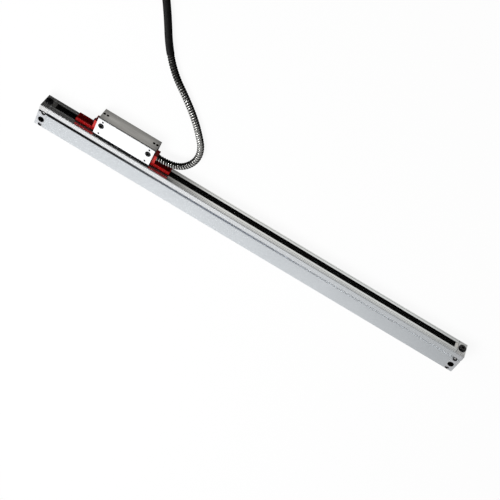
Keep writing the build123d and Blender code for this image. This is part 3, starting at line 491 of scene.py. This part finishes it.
def coil_points():
    """Turns wound clockwise: in along the first layer, out along the second, in along the third."""
    end, before = Vector(LEAD_POINTS[-1]), Vector(LEAD_POINTS[-2])
    heading = (end - before).normalized()
    outer = COIL_MEAN_RADIUS + (COIL_RINGS - 1) / 2 * CABLE_DIAMETER
    centre = end + heading.cross(Vector((0, 0, 1))) * outer
    start = math.atan2(end.y - centre.y, end.x - centre.x)
    tail = Vector(TAIL_POINTS[0]) - centre
    tail_turn = (start - math.atan2(tail.y, tail.x)) % (2 * math.pi) / (2 * math.pi)
    turns = []
    for layer in range(COIL_LAYERS):
        radii = [outer - ring * CABLE_DIAMETER for ring in range(COIL_RINGS)]
        if layer % 2:
            radii.reverse()
        turns += [(radius, (layer + 0.5) * CABLE_DIAMETER) for radius in radii]
    turns.append(turns[-1])
    reach = 1 / math.cos(math.pi / COIL_STEPS)
    last = COIL_STEPS * (len(turns) - 2 + tail_turn) - COIL_END_GAP
    points = []
    for step in range(1, math.ceil(last)):
        number, part = divmod(step, COIL_STEPS)
        change = max(0.0, (part - COIL_STEPS + RING_CHANGE_STEPS) / RING_CHANGE_STEPS)
        radius, z = (
            (1 - change) * here + change * there
            for here, there in zip(turns[number], turns[number + 1])
        )
        angle = start - 2 * math.pi * step / COIL_STEPS
        points.append(
            (
                centre.x + radius * reach * math.cos(angle),
                centre.y + radius * reach * math.sin(angle),
                z,
            )
        )
    return points


def route_line():
    """Points along the hose's centreline in metres, read from one smooth NURBS spline."""
    points = LEAD_POINTS + coil_points() + TAIL_POINTS
    curve = bpy.data.curves.new("route", "CURVE")
    curve.dimensions = "3D"
    curve.resolution_u = ROUTE_RESOLUTION
    spline = curve.splines.new("NURBS")
    spline.points.add(len(points) - 1)
    for target, point in zip(spline.points, points):
        target.co = (*(Vector(point) * MM), 1)
    spline.order_u = ROUTE_ORDER
    spline.use_endpoint_u = True
    holder = bpy.data.objects.new("route", curve)
    bpy.context.collection.objects.link(holder)
    bpy.context.view_layer.update()
    sampled = bpy.data.meshes.new_from_object(holder)
    line = np.array([vertex.co for vertex in sampled.vertices])
    bpy.data.objects.remove(holder)
    bpy.data.meshes.remove(sampled)
    return line


def along(line, distances):
    """Places on the line and its headings at the given distances from its start."""
    steps = np.linalg.norm(np.diff(line, axis=0), axis=1)
    marks = np.r_[0, np.cumsum(steps)]
    reach = HEADING_REACH * MM
    place, ahead, behind = (
        np.stack([np.interp(distances + shift, marks, line[:, k]) for k in range(3)], 1)
        for shift in (0, reach, -reach)
    )
    heading = ahead - behind
    return place, heading / np.linalg.norm(heading, axis=1)[:, None]


def around(heading):
    """Two directions square to each heading, the first level and the second upwards."""
    side = np.cross([0, 0, 1], heading)
    side /= np.linalg.norm(side, axis=1)[:, None]
    return side, np.cross(heading, side)


def make_hose():
    """Armoured hose: a strip wound round the centreline as a helix, its edges lapped in a groove."""
    line = route_line()
    length = float(np.linalg.norm(np.diff(line, axis=0), axis=1).sum())
    pitch = HOSE_PITCH * MM
    turns = math.ceil(length / pitch) + 1
    rows = np.arange(-HOSE_SIDES, (turns + 1) * HOSE_SIDES + 1)
    shares = np.array([share for share, _ in HOSE_PROFILE])
    heights = np.array([height for _, height in HOSE_PROFILE]) * CABLE_DIAMETER / 2 * MM
    distance = (rows[:, None] / HOSE_SIDES + shares[None, :]) * pitch
    clamped = np.clip(distance, 0, length).ravel()
    place, heading = along(line, clamped)
    side, rise = around(heading)
    angle = np.repeat(rows * 2 * math.pi / HOSE_SIDES, len(shares))
    radius = np.tile(heights, len(rows))
    outwards = np.cos(angle)[:, None] * side + np.sin(angle)[:, None] * rise
    vertices = place + radius[:, None] * outwards
    width = len(shares)
    faces = []
    laps = []
    inside = (distance > -pitch) & (distance < length + pitch)
    for row in range(len(rows) - HOSE_SIDES - 1):
        for column in range(width):
            here = row * width + column
            beside = here + width
            if column < width - 1:
                corners = (here, beside, beside + 1, here + 1)
            else:
                lower = (row + HOSE_SIDES) * width
                corners = (here, beside, lower + width, lower)
            if inside[row, column]:
                faces.append(corners)
                laps.append(int(column not in HOSE_CROWN))
    mesh = bpy.data.meshes.new("armoured_hose")
    mesh.from_pydata(vertices.tolist(), [], faces)
    # Lap faces take the second material, the painted shade of the laps
    mesh.polygons.foreach_set("material_index", laps)
    shape = bmesh.new()
    shape.from_mesh(mesh)
    bmesh.ops.remove_doubles(shape, verts=shape.verts, dist=HOSE_WELD * MM)
    bmesh.ops.dissolve_degenerate(shape, edges=shape.edges, dist=HOSE_WELD * MM)
    loose = [v for v in shape.verts if not v.link_faces]
    bmesh.ops.delete(shape, geom=loose, context="VERTS")
    bmesh.ops.holes_fill(shape, edges=[e for e in shape.edges if e.is_boundary], sides=0)
    bmesh.ops.recalc_face_normals(shape, faces=shape.faces)
    for face in shape.faces:
        face.smooth = True
    shape.to_mesh(mesh)
    shape.free()
    hose = bpy.data.objects.new("armoured_hose", mesh)
    bpy.context.collection.objects.link(hose)
    centres, _ = along(line, np.arange(0, length, pitch / PATH_POINTS_PER_PITCH))
    path = np.vstack([centres, line[-1:]])
    print("hose length", round(length, 4), "faces", len(mesh.polygons))
    return hose, path.tolist(), line


def make_sleeve(line):
    """Black sleeve drawn over the armour, with rounded ends."""
    start, end = SLEEVE_SPAN
    turn = np.linspace(0, math.pi / 2, SLEEVE_ROUNDING_STEPS)
    step_in = SLEEVE_ROUNDING * (1 - np.cos(turn))
    rounded = SLEEVE_RADIUS - SLEEVE_ROUNDING * (1 - np.sin(turn))
    middle = np.arange(start + SLEEVE_FIRST_RING, end - SLEEVE_LAST_RING, SLEEVE_RING_STEP)
    distance = np.r_[start, start + step_in, middle, end - step_in[::-1], end]
    inner = SLEEVE_RADIUS - 2 * SLEEVE_ROUNDING
    radius = np.r_[inner, rounded, np.full(len(middle), SLEEVE_RADIUS), rounded[::-1], inner]
    place, heading = along(line, distance * MM)
    side, rise = around(heading)
    angle = np.arange(SLEEVE_SIDES) * 2 * math.pi / SLEEVE_SIDES
    outwards = np.cos(angle)[None, :, None] * side[:, None] + np.sin(angle)[None, :, None] * rise[:, None]
    vertices = place[:, None] + radius[:, None, None] * MM * outwards
    rings = len(distance)
    faces = []
    for ring in range(rings - 1):
        for turn_step in range(SLEEVE_SIDES):
            here = ring * SLEEVE_SIDES + turn_step
            beside = ring * SLEEVE_SIDES + (turn_step + 1) % SLEEVE_SIDES
            faces.append((here, beside, beside + SLEEVE_SIDES, here + SLEEVE_SIDES))
    faces.append(tuple(reversed(range(SLEEVE_SIDES))))
    faces.append(tuple(range((rings - 1) * SLEEVE_SIDES, rings * SLEEVE_SIDES)))
    mesh = bpy.data.meshes.new("hose_sleeve")
    mesh.from_pydata(vertices.reshape(-1, 3).tolist(), [], faces)
    shape = bmesh.new()
    shape.from_mesh(mesh)
    bmesh.ops.recalc_face_normals(shape, faces=shape.faces)
    for face in shape.faces:
        face.smooth = len(face.verts) == 4
    shape.to_mesh(mesh)
    shape.free()
    sleeve = bpy.data.objects.new("hose_sleeve", mesh)
    bpy.context.collection.objects.link(sleeve)
    return sleeve


make_camera()
hose, hose_path, hose_line = make_hose()
sleeve = make_sleeve(hose_line)


def new_material(name):
    """An empty principled material: itself, its nodes, its links and its shader."""
    material = bpy.data.materials.new(name)
    material.use_nodes = True
    nodes = material.node_tree.nodes
    return material, nodes, material.node_tree.links, nodes["Principled BSDF"]


def grain(nodes, links, stretch, scale, detail=GRAIN_DETAIL):
    """Noise fixed to the piece, drawn out along the axes with the smaller numbers in stretch."""
    place = nodes.new("ShaderNodeTexCoord")
    mapping = nodes.new("ShaderNodeMapping")
    mapping.inputs["Scale"].default_value = stretch
    noise = nodes.new("ShaderNodeTexNoise")
    noise.inputs["Scale"].default_value = scale
    noise.inputs["Detail"].default_value = detail
    links.new(place.outputs["Object"], mapping.inputs["Vector"])
    links.new(mapping.outputs["Vector"], noise.inputs["Vector"])
    return noise.outputs["Fac"]


def ramp(nodes, links, value, start, end, low, high, kind="SMOOTHSTEP"):
    """A number that goes from low to high while the value goes from start to end."""
    ranged = nodes.new("ShaderNodeMapRange")
    ranged.interpolation_type = kind
    ranged.inputs["From Min"].default_value = start
    ranged.inputs["From Max"].default_value = end
    ranged.inputs["To Min"].default_value = low
    ranged.inputs["To Max"].default_value = high
    links.new(value, ranged.inputs["Value"])
    return ranged.outputs["Result"]


def spread(nodes, links, factor, low, high):
    """Maps the noise's usual range onto low to high."""
    return ramp(nodes, links, factor, *NOISE_RANGE, low, high, "LINEAR")


def piece_axis(nodes, links, kind, axis):
    """One axis of the place on the piece, or of its surface's normal, in the piece's own frame."""
    place = nodes.new("ShaderNodeTexCoord")
    split = nodes.new("ShaderNodeSeparateXYZ")
    links.new(place.outputs[kind], split.inputs["Vector"])
    return split.outputs[axis]


def along_axis(nodes, links, axis, start, end, low, high):
    """A number that goes from low to high between two places in millimetres on one axis of the piece."""
    return ramp(nodes, links, piece_axis(nodes, links, "Object", axis), start * MM, end * MM, low, high)


def facing(nodes, links, axis, start, end, low, high):
    """A number that goes from low to high with one part of the surface's normal."""
    return ramp(nodes, links, piece_axis(nodes, links, "Normal", axis), start, end, low, high)


def calculation(nodes, links, operation, first, second, clamp=False):
    """One number from two others."""
    result = nodes.new("ShaderNodeMath")
    result.operation = operation
    result.use_clamp = clamp
    links.new(first, result.inputs[0])
    links.new(second, result.inputs[1])
    return result.outputs[0]


def product(nodes, links, first, second):
    """Two numbers multiplied, kept between zero and one."""
    return calculation(nodes, links, "MULTIPLY", first, second, clamp=True)


def mixed(nodes, links, factor, first, second):
    """The first number where the factor is zero, the second where it is one; either may be a constant."""
    mix = nodes.new("ShaderNodeMix")
    links.new(factor, mix.inputs["Factor"])
    for value, target in ((first, mix.inputs["A"]), (second, mix.inputs["B"])):
        if isinstance(value, float):
            target.default_value = value
        else:
            links.new(value, target)
    return mix.outputs["Result"]


def tone_over(material, factor, colour):
    """Lays a colour over the material's base colour by the factor."""
    nodes, links = material.node_tree.nodes, material.node_tree.links
    base = nodes["Principled BSDF"].inputs["Base Color"]
    tone = nodes.new("ShaderNodeMix")
    tone.data_type = "RGBA"
    links.new(base.links[0].from_socket, tone.inputs["A"])
    tone.inputs["B"].default_value = (*colour, 1)
    links.new(factor, tone.inputs["Factor"])
    links.new(tone.outputs["Result"], base)


def gloss_over(material, factor, roughness):
    """Another roughness where the factor is one."""
    nodes, links = material.node_tree.nodes, material.node_tree.links
    gloss = nodes["Principled BSDF"].inputs["Roughness"]
    links.new(mixed(nodes, links, factor, gloss.links[0].from_socket, roughness), gloss)


def finish_material(
    name,
    dark,
    light,
    roughness,
    metallic=0.0,
    stretch=(1, 1, 1),
    scale=900.0,
    bump=0.05,
    edge=0.12,
    specular=0.5,
):
    """A finish with fine grain, broad soft patches and softly rounded edges."""
    material, nodes, links, shader = new_material(name)
    fine = grain(nodes, links, stretch, scale)
    broad = grain(nodes, links, (1, 1, 1), PATCH_SCALE, PATCH_DETAIL)
    both = nodes.new("ShaderNodeMix")
    both.inputs["Factor"].default_value = PATCH_SHARE
    links.new(fine, both.inputs["A"])
    links.new(broad, both.inputs["B"])
    tone = nodes.new("ShaderNodeMix")
    tone.data_type = "RGBA"
    tone.inputs["A"].default_value = (*dark, 1)
    tone.inputs["B"].default_value = (*light, 1)
    links.new(spread(nodes, links, both.outputs["Result"], 0.0, 1.0), tone.inputs["Factor"])
    links.new(tone.outputs["Result"], shader.inputs["Base Color"])
    links.new(spread(nodes, links, fine, *roughness), shader.inputs["Roughness"])
    shader.inputs["Metallic"].default_value = metallic
    shader.inputs["Specular IOR Level"].default_value = specular
    rounded = nodes.new("ShaderNodeBevel")
    rounded.samples = BEVEL_SAMPLES
    rounded.inputs["Radius"].default_value = edge * MM
    relief = nodes.new("ShaderNodeBump")
    relief.inputs["Strength"].default_value = bump
    relief.inputs["Distance"].default_value = GRAIN_DEPTH * MM
    links.new(fine, relief.inputs["Height"])
    links.new(rounded.outputs["Normal"], relief.inputs["Normal"])
    links.new(relief.outputs["Normal"], shader.inputs["Normal"])
    return material


def finish(name):
    """A new material from the table of finishes, with its nodes and links."""
    material = finish_material(name, **FINISHES[name])
    return material, material.node_tree.nodes, material.node_tree.links


def painted_light_band(material, colour, roughness):
    """Painted light: the strip beside the slot face is glossier, and painted brighter than the rest, most at
    the +X end.
    """
    nodes, links = material.node_tree.nodes, material.node_tree.links
    beside = along_axis(nodes, links, "Y", *BAND_EDGE, 1.0, 0.0)
    lengthwise = along_axis(nodes, links, "X", *BAND_FADE, BAND_LOW_SHARE, 1.0)
    band = product(nodes, links, beside, lengthwise)
    tone_over(material, band, colour)
    gloss_over(material, band, roughness)


def anodised():
    """Blasted and anodised extrusion, near white, with a glossier slot face, a band of painted light beside
    it and painted shade along the groove's edges.
    """
    material, nodes, links = finish("anodised_aluminium")
    painted_light_band(material, BAND_PAINTED_LIGHT_TONE, BAND_ROUGHNESS)
    gloss_over(material, facing(nodes, links, "Y", *SLOT_FACE, 1.0, 0.0), SLOT_FACE_ROUGHNESS)
    # Painted shade along the groove's edges, deeper towards the +X end
    low, high = GROOVE_Y - GROOVE_PAINTED_SHADE_REACH, GROOVE_Y + GROOVE_PAINTED_SHADE_REACH
    before = along_axis(nodes, links, "Y", low - GROOVE_PAINTED_SHADE_FADE, low, 0.0, 1.0)
    behind = along_axis(nodes, links, "Y", high, high + GROOVE_PAINTED_SHADE_FADE, 1.0, 0.0)
    deeper = along_axis(nodes, links, "X", *GROOVE_PAINTED_BLACK_SPAN, *GROOVE_PAINTED_SHADE_SHARE)
    fading = along_axis(nodes, links, "X", *GROOVE_FADE, 0.0, 1.0)
    groove_edge_painted_shade = product(nodes, links, before, behind)
    groove_edge_painted_shade = product(nodes, links, groove_edge_painted_shade, product(nodes, links, deeper, fading))
    tone_over(material, groove_edge_painted_shade, GROOVE_PAINTED_SHADE_TONE)
    return material


def end_block_metal():
    """Machined aluminium of the end blocks, with the same band of painted light."""
    material, _, _ = finish("end_block_aluminium")
    painted_light_band(material, END_BAND_PAINTED_LIGHT_TONE, END_BAND_ROUGHNESS)
    return material


def groove_painted_shade():
    """Painted shade on the groove's floor and walls, black towards the +X end."""
    material, nodes, links = finish("groove_painted_shade")
    tone_over(material, along_axis(nodes, links, "X", *GROOVE_FADE, 0.0, 1.0), GROOVE_FADE_TONE)
    tone_over(material, along_axis(nodes, links, "X", *GROOVE_PAINTED_BLACK_SPAN, 0.0, 1.0), GROOVE_PAINTED_BLACK_TONE)
    return material


def brushed_head():
    """Grey milled aluminium, brushed along its length, with painted shade towards its foot."""
    material, nodes, links = finish("brushed_aluminium")
    tone_over(material, along_axis(nodes, links, "Z", *HEAD_FOOT, HEAD_FOOT_PAINTED_SHADE_SHARE, 0.0), HEAD_FOOT_PAINTED_SHADE_TONE)
    return material


def red_plastic():
    """Glossy red moulding, with painted light on the upper faces of its legs and painted shade deep in its
    trays.
    """
    material, nodes, links = finish("red_plastic")
    upwards = piece_axis(nodes, links, "Normal", "Z")
    leg = along_axis(nodes, links, "Y", *LEG_EDGE, 1.0, 0.0)
    tone_over(material, product(nodes, links, upwards, leg), LEG_PAINTED_LIGHT_TONE)
    tone_over(material, along_axis(nodes, links, "Y", *PAINTED_TRAY_SHADE_SPAN, 0.0, 1.0), PAINTED_TRAY_SHADE_TONE)
    return material


def painted_underside_shade(material):
    """Painted shade: between the head and the sleeve the hose's sides and underside are painted nearly black.
    """
    nodes, links = material.node_tree.nodes, material.node_tree.links
    for part, places in ((UNDERSIDE, UNDERSIDE_END), (BEND_FRONT, BEND_FRONT_START)):
        dark = facing(nodes, links, "Z", *part, UNDERSIDE_PAINTED_SHADE_SHARE, 0.0)
        near = along_axis(nodes, links, "Y", *places, 0.0, 1.0)
        tone_over(material, product(nodes, links, dark, near), UNDERSIDE_PAINTED_SHADE_TONE)


def armour_steel():
    """Plated spring strip, with a painted dark reflection next to the sleeve."""
    material, nodes, links = finish("armour_steel")
    before = along_axis(nodes, links, "Y", *PAINTED_DARK_REFLECTION_NEAR, 1.0, 0.0)
    beyond = along_axis(nodes, links, "Y", *PAINTED_DARK_REFLECTION_FAR, 0.0, 1.0)
    tone_over(material, product(nodes, links, before, beyond), PAINTED_DARK_REFLECTION_TONE)
    painted_underside_shade(material)
    return material


def armour_lap_painted_shade():
    """Painted shade where the strip laps itself, with painted light in the bend next to the head."""
    material, nodes, links = finish("armour_lap_painted_shade")
    before = along_axis(nodes, links, "Y", *BEND_PAINTED_LIGHT_SPAN, 0.0, BEND_PAINTED_LIGHT_SHARE)
    beyond = along_axis(nodes, links, "Y", *BEND_END, 1.0, 0.0)
    tone_over(material, product(nodes, links, before, beyond), BEND_PAINTED_LIGHT_TONE)
    painted_underside_shade(material)
    return material


def clear_glass(name, tint):
    """Clear glass with a faint film."""
    material, nodes, links, shader = new_material(name)
    film = grain(nodes, links, (1, 1, 1), GLASS_FILM_SCALE)
    links.new(spread(nodes, links, film, *GLASS_ROUGHNESS), shader.inputs["Roughness"])
    shader.inputs["Base Color"].default_value = (*tint, 1)
    shader.inputs["Transmission Weight"].default_value = GLASS_TRANSMISSION
    shader.inputs["IOR"].default_value = GLASS_IOR
    return material


def dress(material, *names):
    """Gives a material to solids of the frame."""
    for name in names:
        data = frame["nodes"][name].data
        data.materials.clear()
        data.materials.append(material)


def dress_faces(material, name, chosen):
    """Gives the material to the chosen faces of one solid."""
    data = frame["nodes"][name].data
    data.materials.append(material)
    index = len(data.materials) - 1
    for polygon in data.polygons:
        if chosen(polygon):
            polygon.material_index = index


def in_narrow_place(name):
    """A test for faces that look at another face of their own solid close by."""
    data = frame["nodes"][name].data
    places = [vertex.co for vertex in data.vertices]
    tree = BVHTree.FromPolygons(places, [polygon.vertices for polygon in data.polygons])

    def blocked(polygon):
        start = polygon.center + RAY_START * MM * polygon.normal
        return tree.ray_cast(start, polygon.normal, NARROW_REACH * MM)[0] is not None

    return blocked


def in_groove(polygon):
    """Whether a face is the floor or a wall of the groove in the broad face."""
    centre = polygon.center / MM
    across = abs(centre.y - GROOVE_Y) < GROOVE_WIDTH / 2 + GROOVE_MARGIN
    return across and GROOVE_FLOOR - PLACE_MARGIN < centre.z < BODY_TOP - GROOVE_MARGIN


def faces_slot(polygon):
    """Whether a face of the head looks at the unit from its back."""
    return polygon.normal.y > FACES_BACK and polygon.center.y / MM > HEAD_BACK - PLACE_MARGIN


def dress_everything():
    """Gives every solid, the hose and its sleeve their finishes, and painted shade in holes, narrow gaps, the
    groove and the head's back.
    """
    for name, pieces in PLAIN_PIECES.items():
        dress(finish(name)[0], *pieces)
    dress(anodised(), "scale_housing")
    dress(end_block_metal(), "end_block_left", "end_block_right")
    dress(brushed_head(), "head_block", "carriage_frame")
    dress(red_plastic(), "bracket_left", "bracket_right")
    for name, (tint, pieces) in GLASS_PIECES.items():
        dress(clear_glass(name, tint), *pieces)
    armour = armour_steel()
    dress(armour, "cable_ferrule")
    hose.data.materials.append(armour)
    hose.data.materials.append(armour_lap_painted_shade())
    sleeve.data.materials.append(finish("sleeve_rubber")[0])
    # Painted shade: near-black faces in holes and narrow gaps
    painted_shade_inside = finish("bore_painted_shade")[0]
    for name in BORED_PIECES:
        dress_faces(painted_shade_inside, name, in_narrow_place(name))
    # Painted shade in the groove's floor and walls
    groove = groove_painted_shade()
    dress_faces(groove, "scale_housing", in_groove)
    dress_faces(groove, "end_block_right", in_groove)
    # Painted shade on the head's faces that look back at the unit, across the gap
    dress_faces(painted_shade_inside, "head_block", faces_slot)


def seen_directly(nodes, links, rays):
    """One for what the camera sees itself or through glass."""
    return calculation(
        nodes, links, "MAXIMUM", rays.outputs["Is Camera Ray"], rays.outputs["Is Transmission Ray"]
    )


def painted_floor_reflection_level(nodes, links):
    """Painted reflection: how bright the floor glows to gloss at each place, painted darker at the +X end and
    in front, with a round painted shadow of the hose.
    """
    side = along_axis(nodes, links, "X", *FLOOR_SIDE_FALL, *FLOOR_SIDE_LEVEL)
    front = along_axis(nodes, links, "Y", *FLOOR_FRONT_FALL, FLOOR_FRONT_SHARE, 1.0)
    near = along_axis(nodes, links, "X", *FLOOR_NEAR_FALL, *FLOOR_NEAR_LEVEL)
    near_end = along_axis(nodes, links, "X", *FLOOR_NEAR_END, FLOOR_NEAR_END_SHARE, 1.0)
    near_part = along_axis(nodes, links, "Y", *FLOOR_NEAR_EDGE, 0.0, 1.0)
    place = nodes.new("ShaderNodeTexCoord")
    away = nodes.new("ShaderNodeVectorMath")
    away.operation = "DISTANCE"
    away.inputs[1].default_value = FLOOR_PAINTED_SHADOW_PLACE
    links.new(place.outputs["Object"], away.inputs[0])
    painted_shadow_spot = ramp(nodes, links, away.outputs["Value"], *FLOOR_PAINTED_SHADOW_REACH, FLOOR_PAINTED_SHADOW_SHARE, 1.0)
    further = product(nodes, links, product(nodes, links, painted_shadow_spot, side), front)
    return mixed(nodes, links, near_part, further, product(nodes, links, near, near_end))


def make_floor():
    """A plain pale floor that keeps a faint shadow. To gloss alone it glows as a painted reflection, darker
    in front and at the +X end.
    """
    bpy.ops.mesh.primitive_plane_add(size=FLOOR_SIZE, location=(0, 0, FLOOR_HEIGHT))
    floor = bpy.context.object
    floor.name = "floor"
    material, nodes, links, shader = new_material("pale_floor")
    shader.inputs["Roughness"].default_value = FLOOR_ROUGHNESS
    rays = nodes.new("ShaderNodeLightPath")
    tone = mixed(nodes, links, rays.outputs["Is Diffuse Ray"], FLOOR_COLOUR, FLOOR_BOUNCE)
    links.new(tone, shader.inputs["Base Color"])
    white = nodes.new("ShaderNodeEmission")
    white.inputs["Strength"].default_value = 1.0
    share = nodes.new("ShaderNodeMath")
    share.operation = "MULTIPLY"
    share.inputs[1].default_value = FLOOR_WHITE_SHARE
    links.new(seen_directly(nodes, links, rays), share.inputs[0])
    seen = nodes.new("ShaderNodeMixShader")
    links.new(share.outputs[0], seen.inputs["Fac"])
    links.new(shader.outputs["BSDF"], seen.inputs[1])
    links.new(white.outputs["Emission"], seen.inputs[2])
    # Gloss sees a painted reflection: the floor's glow set by place, not its own shading
    painted_floor_glow = nodes.new("ShaderNodeEmission")
    painted_floor_glow.inputs["Color"].default_value = FLOOR_TINT
    links.new(painted_floor_reflection_level(nodes, links), painted_floor_glow.inputs["Strength"])
    both = nodes.new("ShaderNodeMixShader")
    links.new(rays.outputs["Is Glossy Ray"], both.inputs["Fac"])
    links.new(seen.outputs["Shader"], both.inputs[1])
    links.new(painted_floor_glow.outputs["Emission"], both.inputs[2])
    links.new(both.outputs["Shader"], nodes["Material Output"].inputs["Surface"])
    floor.data.materials.append(material)


def make_card(name, corners):
    """A glowing card that only metal and gloss mirror: its nodes, links and glow."""
    mesh = bpy.data.meshes.new(name)
    mesh.from_pydata(corners, [], [(0, 1, 2, 3)])
    card = bpy.data.objects.new(name, mesh)
    bpy.context.collection.objects.link(card)
    card.visible_camera = False
    card.visible_shadow = False
    card.visible_diffuse = False
    material, nodes, links, _ = new_material(name)
    glow = nodes.new("ShaderNodeEmission")
    links.new(glow.outputs["Emission"], nodes["Material Output"].inputs["Surface"])
    mesh.materials.append(material)
    return nodes, links, glow


def make_softbox():
    """A long softbox behind the object, brighter towards the +X end."""
    low, high = SOFTBOX_SPAN_X, SOFTBOX_SPAN_Y
    corners = [(low[0], high[0]), (low[0], high[1]), (low[1], high[1]), (low[1], high[0])]
    nodes, links, glow = make_card("softbox", [(x, y, SOFTBOX_HEIGHT) for x, y in corners])
    rise = along_axis(nodes, links, "X", *SOFTBOX_RISE, *SOFTBOX_LEVEL)
    links.new(rise, glow.inputs["Strength"])


def make_low_card():
    """An upright card behind the object, which lights the hose's near side."""
    low, high = LOW_CARD_SPAN_X, LOW_CARD_SPAN_Z
    corners = [(low[0], high[0]), (low[1], high[0]), (low[1], high[1]), (low[0], high[1])]
    _, _, glow = make_card("low_card", [(x, LOW_CARD_Y, z) for x, z in corners])
    glow.inputs["Strength"].default_value = LOW_CARD_LEVEL


def make_spark():
    """A small bright card beyond the +X end, for the glints on screw heads."""
    centre = Vector(SPARK_PLACE)
    across = centre.cross(Vector((0, 0, 1))).normalized() * SPARK_SIZE / 2
    up = across.cross(centre).normalized() * SPARK_SIZE / 2
    corners = [centre - across - up, centre + across - up, centre + across + up, centre - across + up]
    _, _, glow = make_card("spark", [tuple(corner) for corner in corners])
    glow.inputs["Strength"].default_value = SPARK_LEVEL


def towards(nodes, links, direction):
    """How far the world's direction points the given way."""
    place = nodes.new("ShaderNodeTexCoord")
    along_it = nodes.new("ShaderNodeVectorMath")
    along_it.operation = "DOT_PRODUCT"
    along_it.inputs[1].default_value = direction
    links.new(place.outputs["Generated"], along_it.inputs[0])
    return along_it.outputs["Value"]


def make_world():
    """Studio surroundings: brighter behind and above, dim in front; white to the camera."""
    world = bpy.data.worlds.new("studio")
    world.use_nodes = True
    bpy.context.scene.world = world
    nodes, links = world.node_tree.nodes, world.node_tree.links
    background = nodes["Background"]
    background.inputs["Color"].default_value = (1, 1, 1, 1)
    behind = ramp(nodes, links, towards(nodes, links, WORLD_BEHIND), *WORLD_BEHIND_REACH, *WORLD_LEVEL)
    front = ramp(nodes, links, towards(nodes, links, WORLD_FRONT), *WORLD_FRONT_REACH, 0.0, WORLD_FRONT_LEVEL)
    level = calculation(nodes, links, "ADD", behind, front)
    rays = nodes.new("ShaderNodeLightPath")
    strength = mixed(nodes, links, seen_directly(nodes, links, rays), level, 1.0)
    links.new(strength, background.inputs["Strength"])


def area_lamp(name, place, target, size, power):
    """A soft square lamp at place, pointed at target, both in metres."""
    data = bpy.data.lights.new(name, "AREA")
    data.size = size
    data.energy = power
    lamp = bpy.data.objects.new(name, data)
    lamp.visible_glossy = False
    lamp.location = place
    lamp.rotation_mode = "QUATERNION"
    lamp.rotation_quaternion = (Vector(target) - Vector(place)).to_track_quat("-Z", "Y")
    bpy.context.collection.objects.link(lamp)


dress_everything()
make_floor()
make_softbox()
make_low_card()
make_spark()
make_world()
for lamp_name, lamp_settings in LAMPS.items():
    area_lamp(lamp_name, *lamp_settings)
bpy.context.scene.view_settings.view_transform = "Standard"

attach(hose, "reader_head")
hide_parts("cable", "cable_coil", "cable_tail")
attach(sleeve, "reader_head")
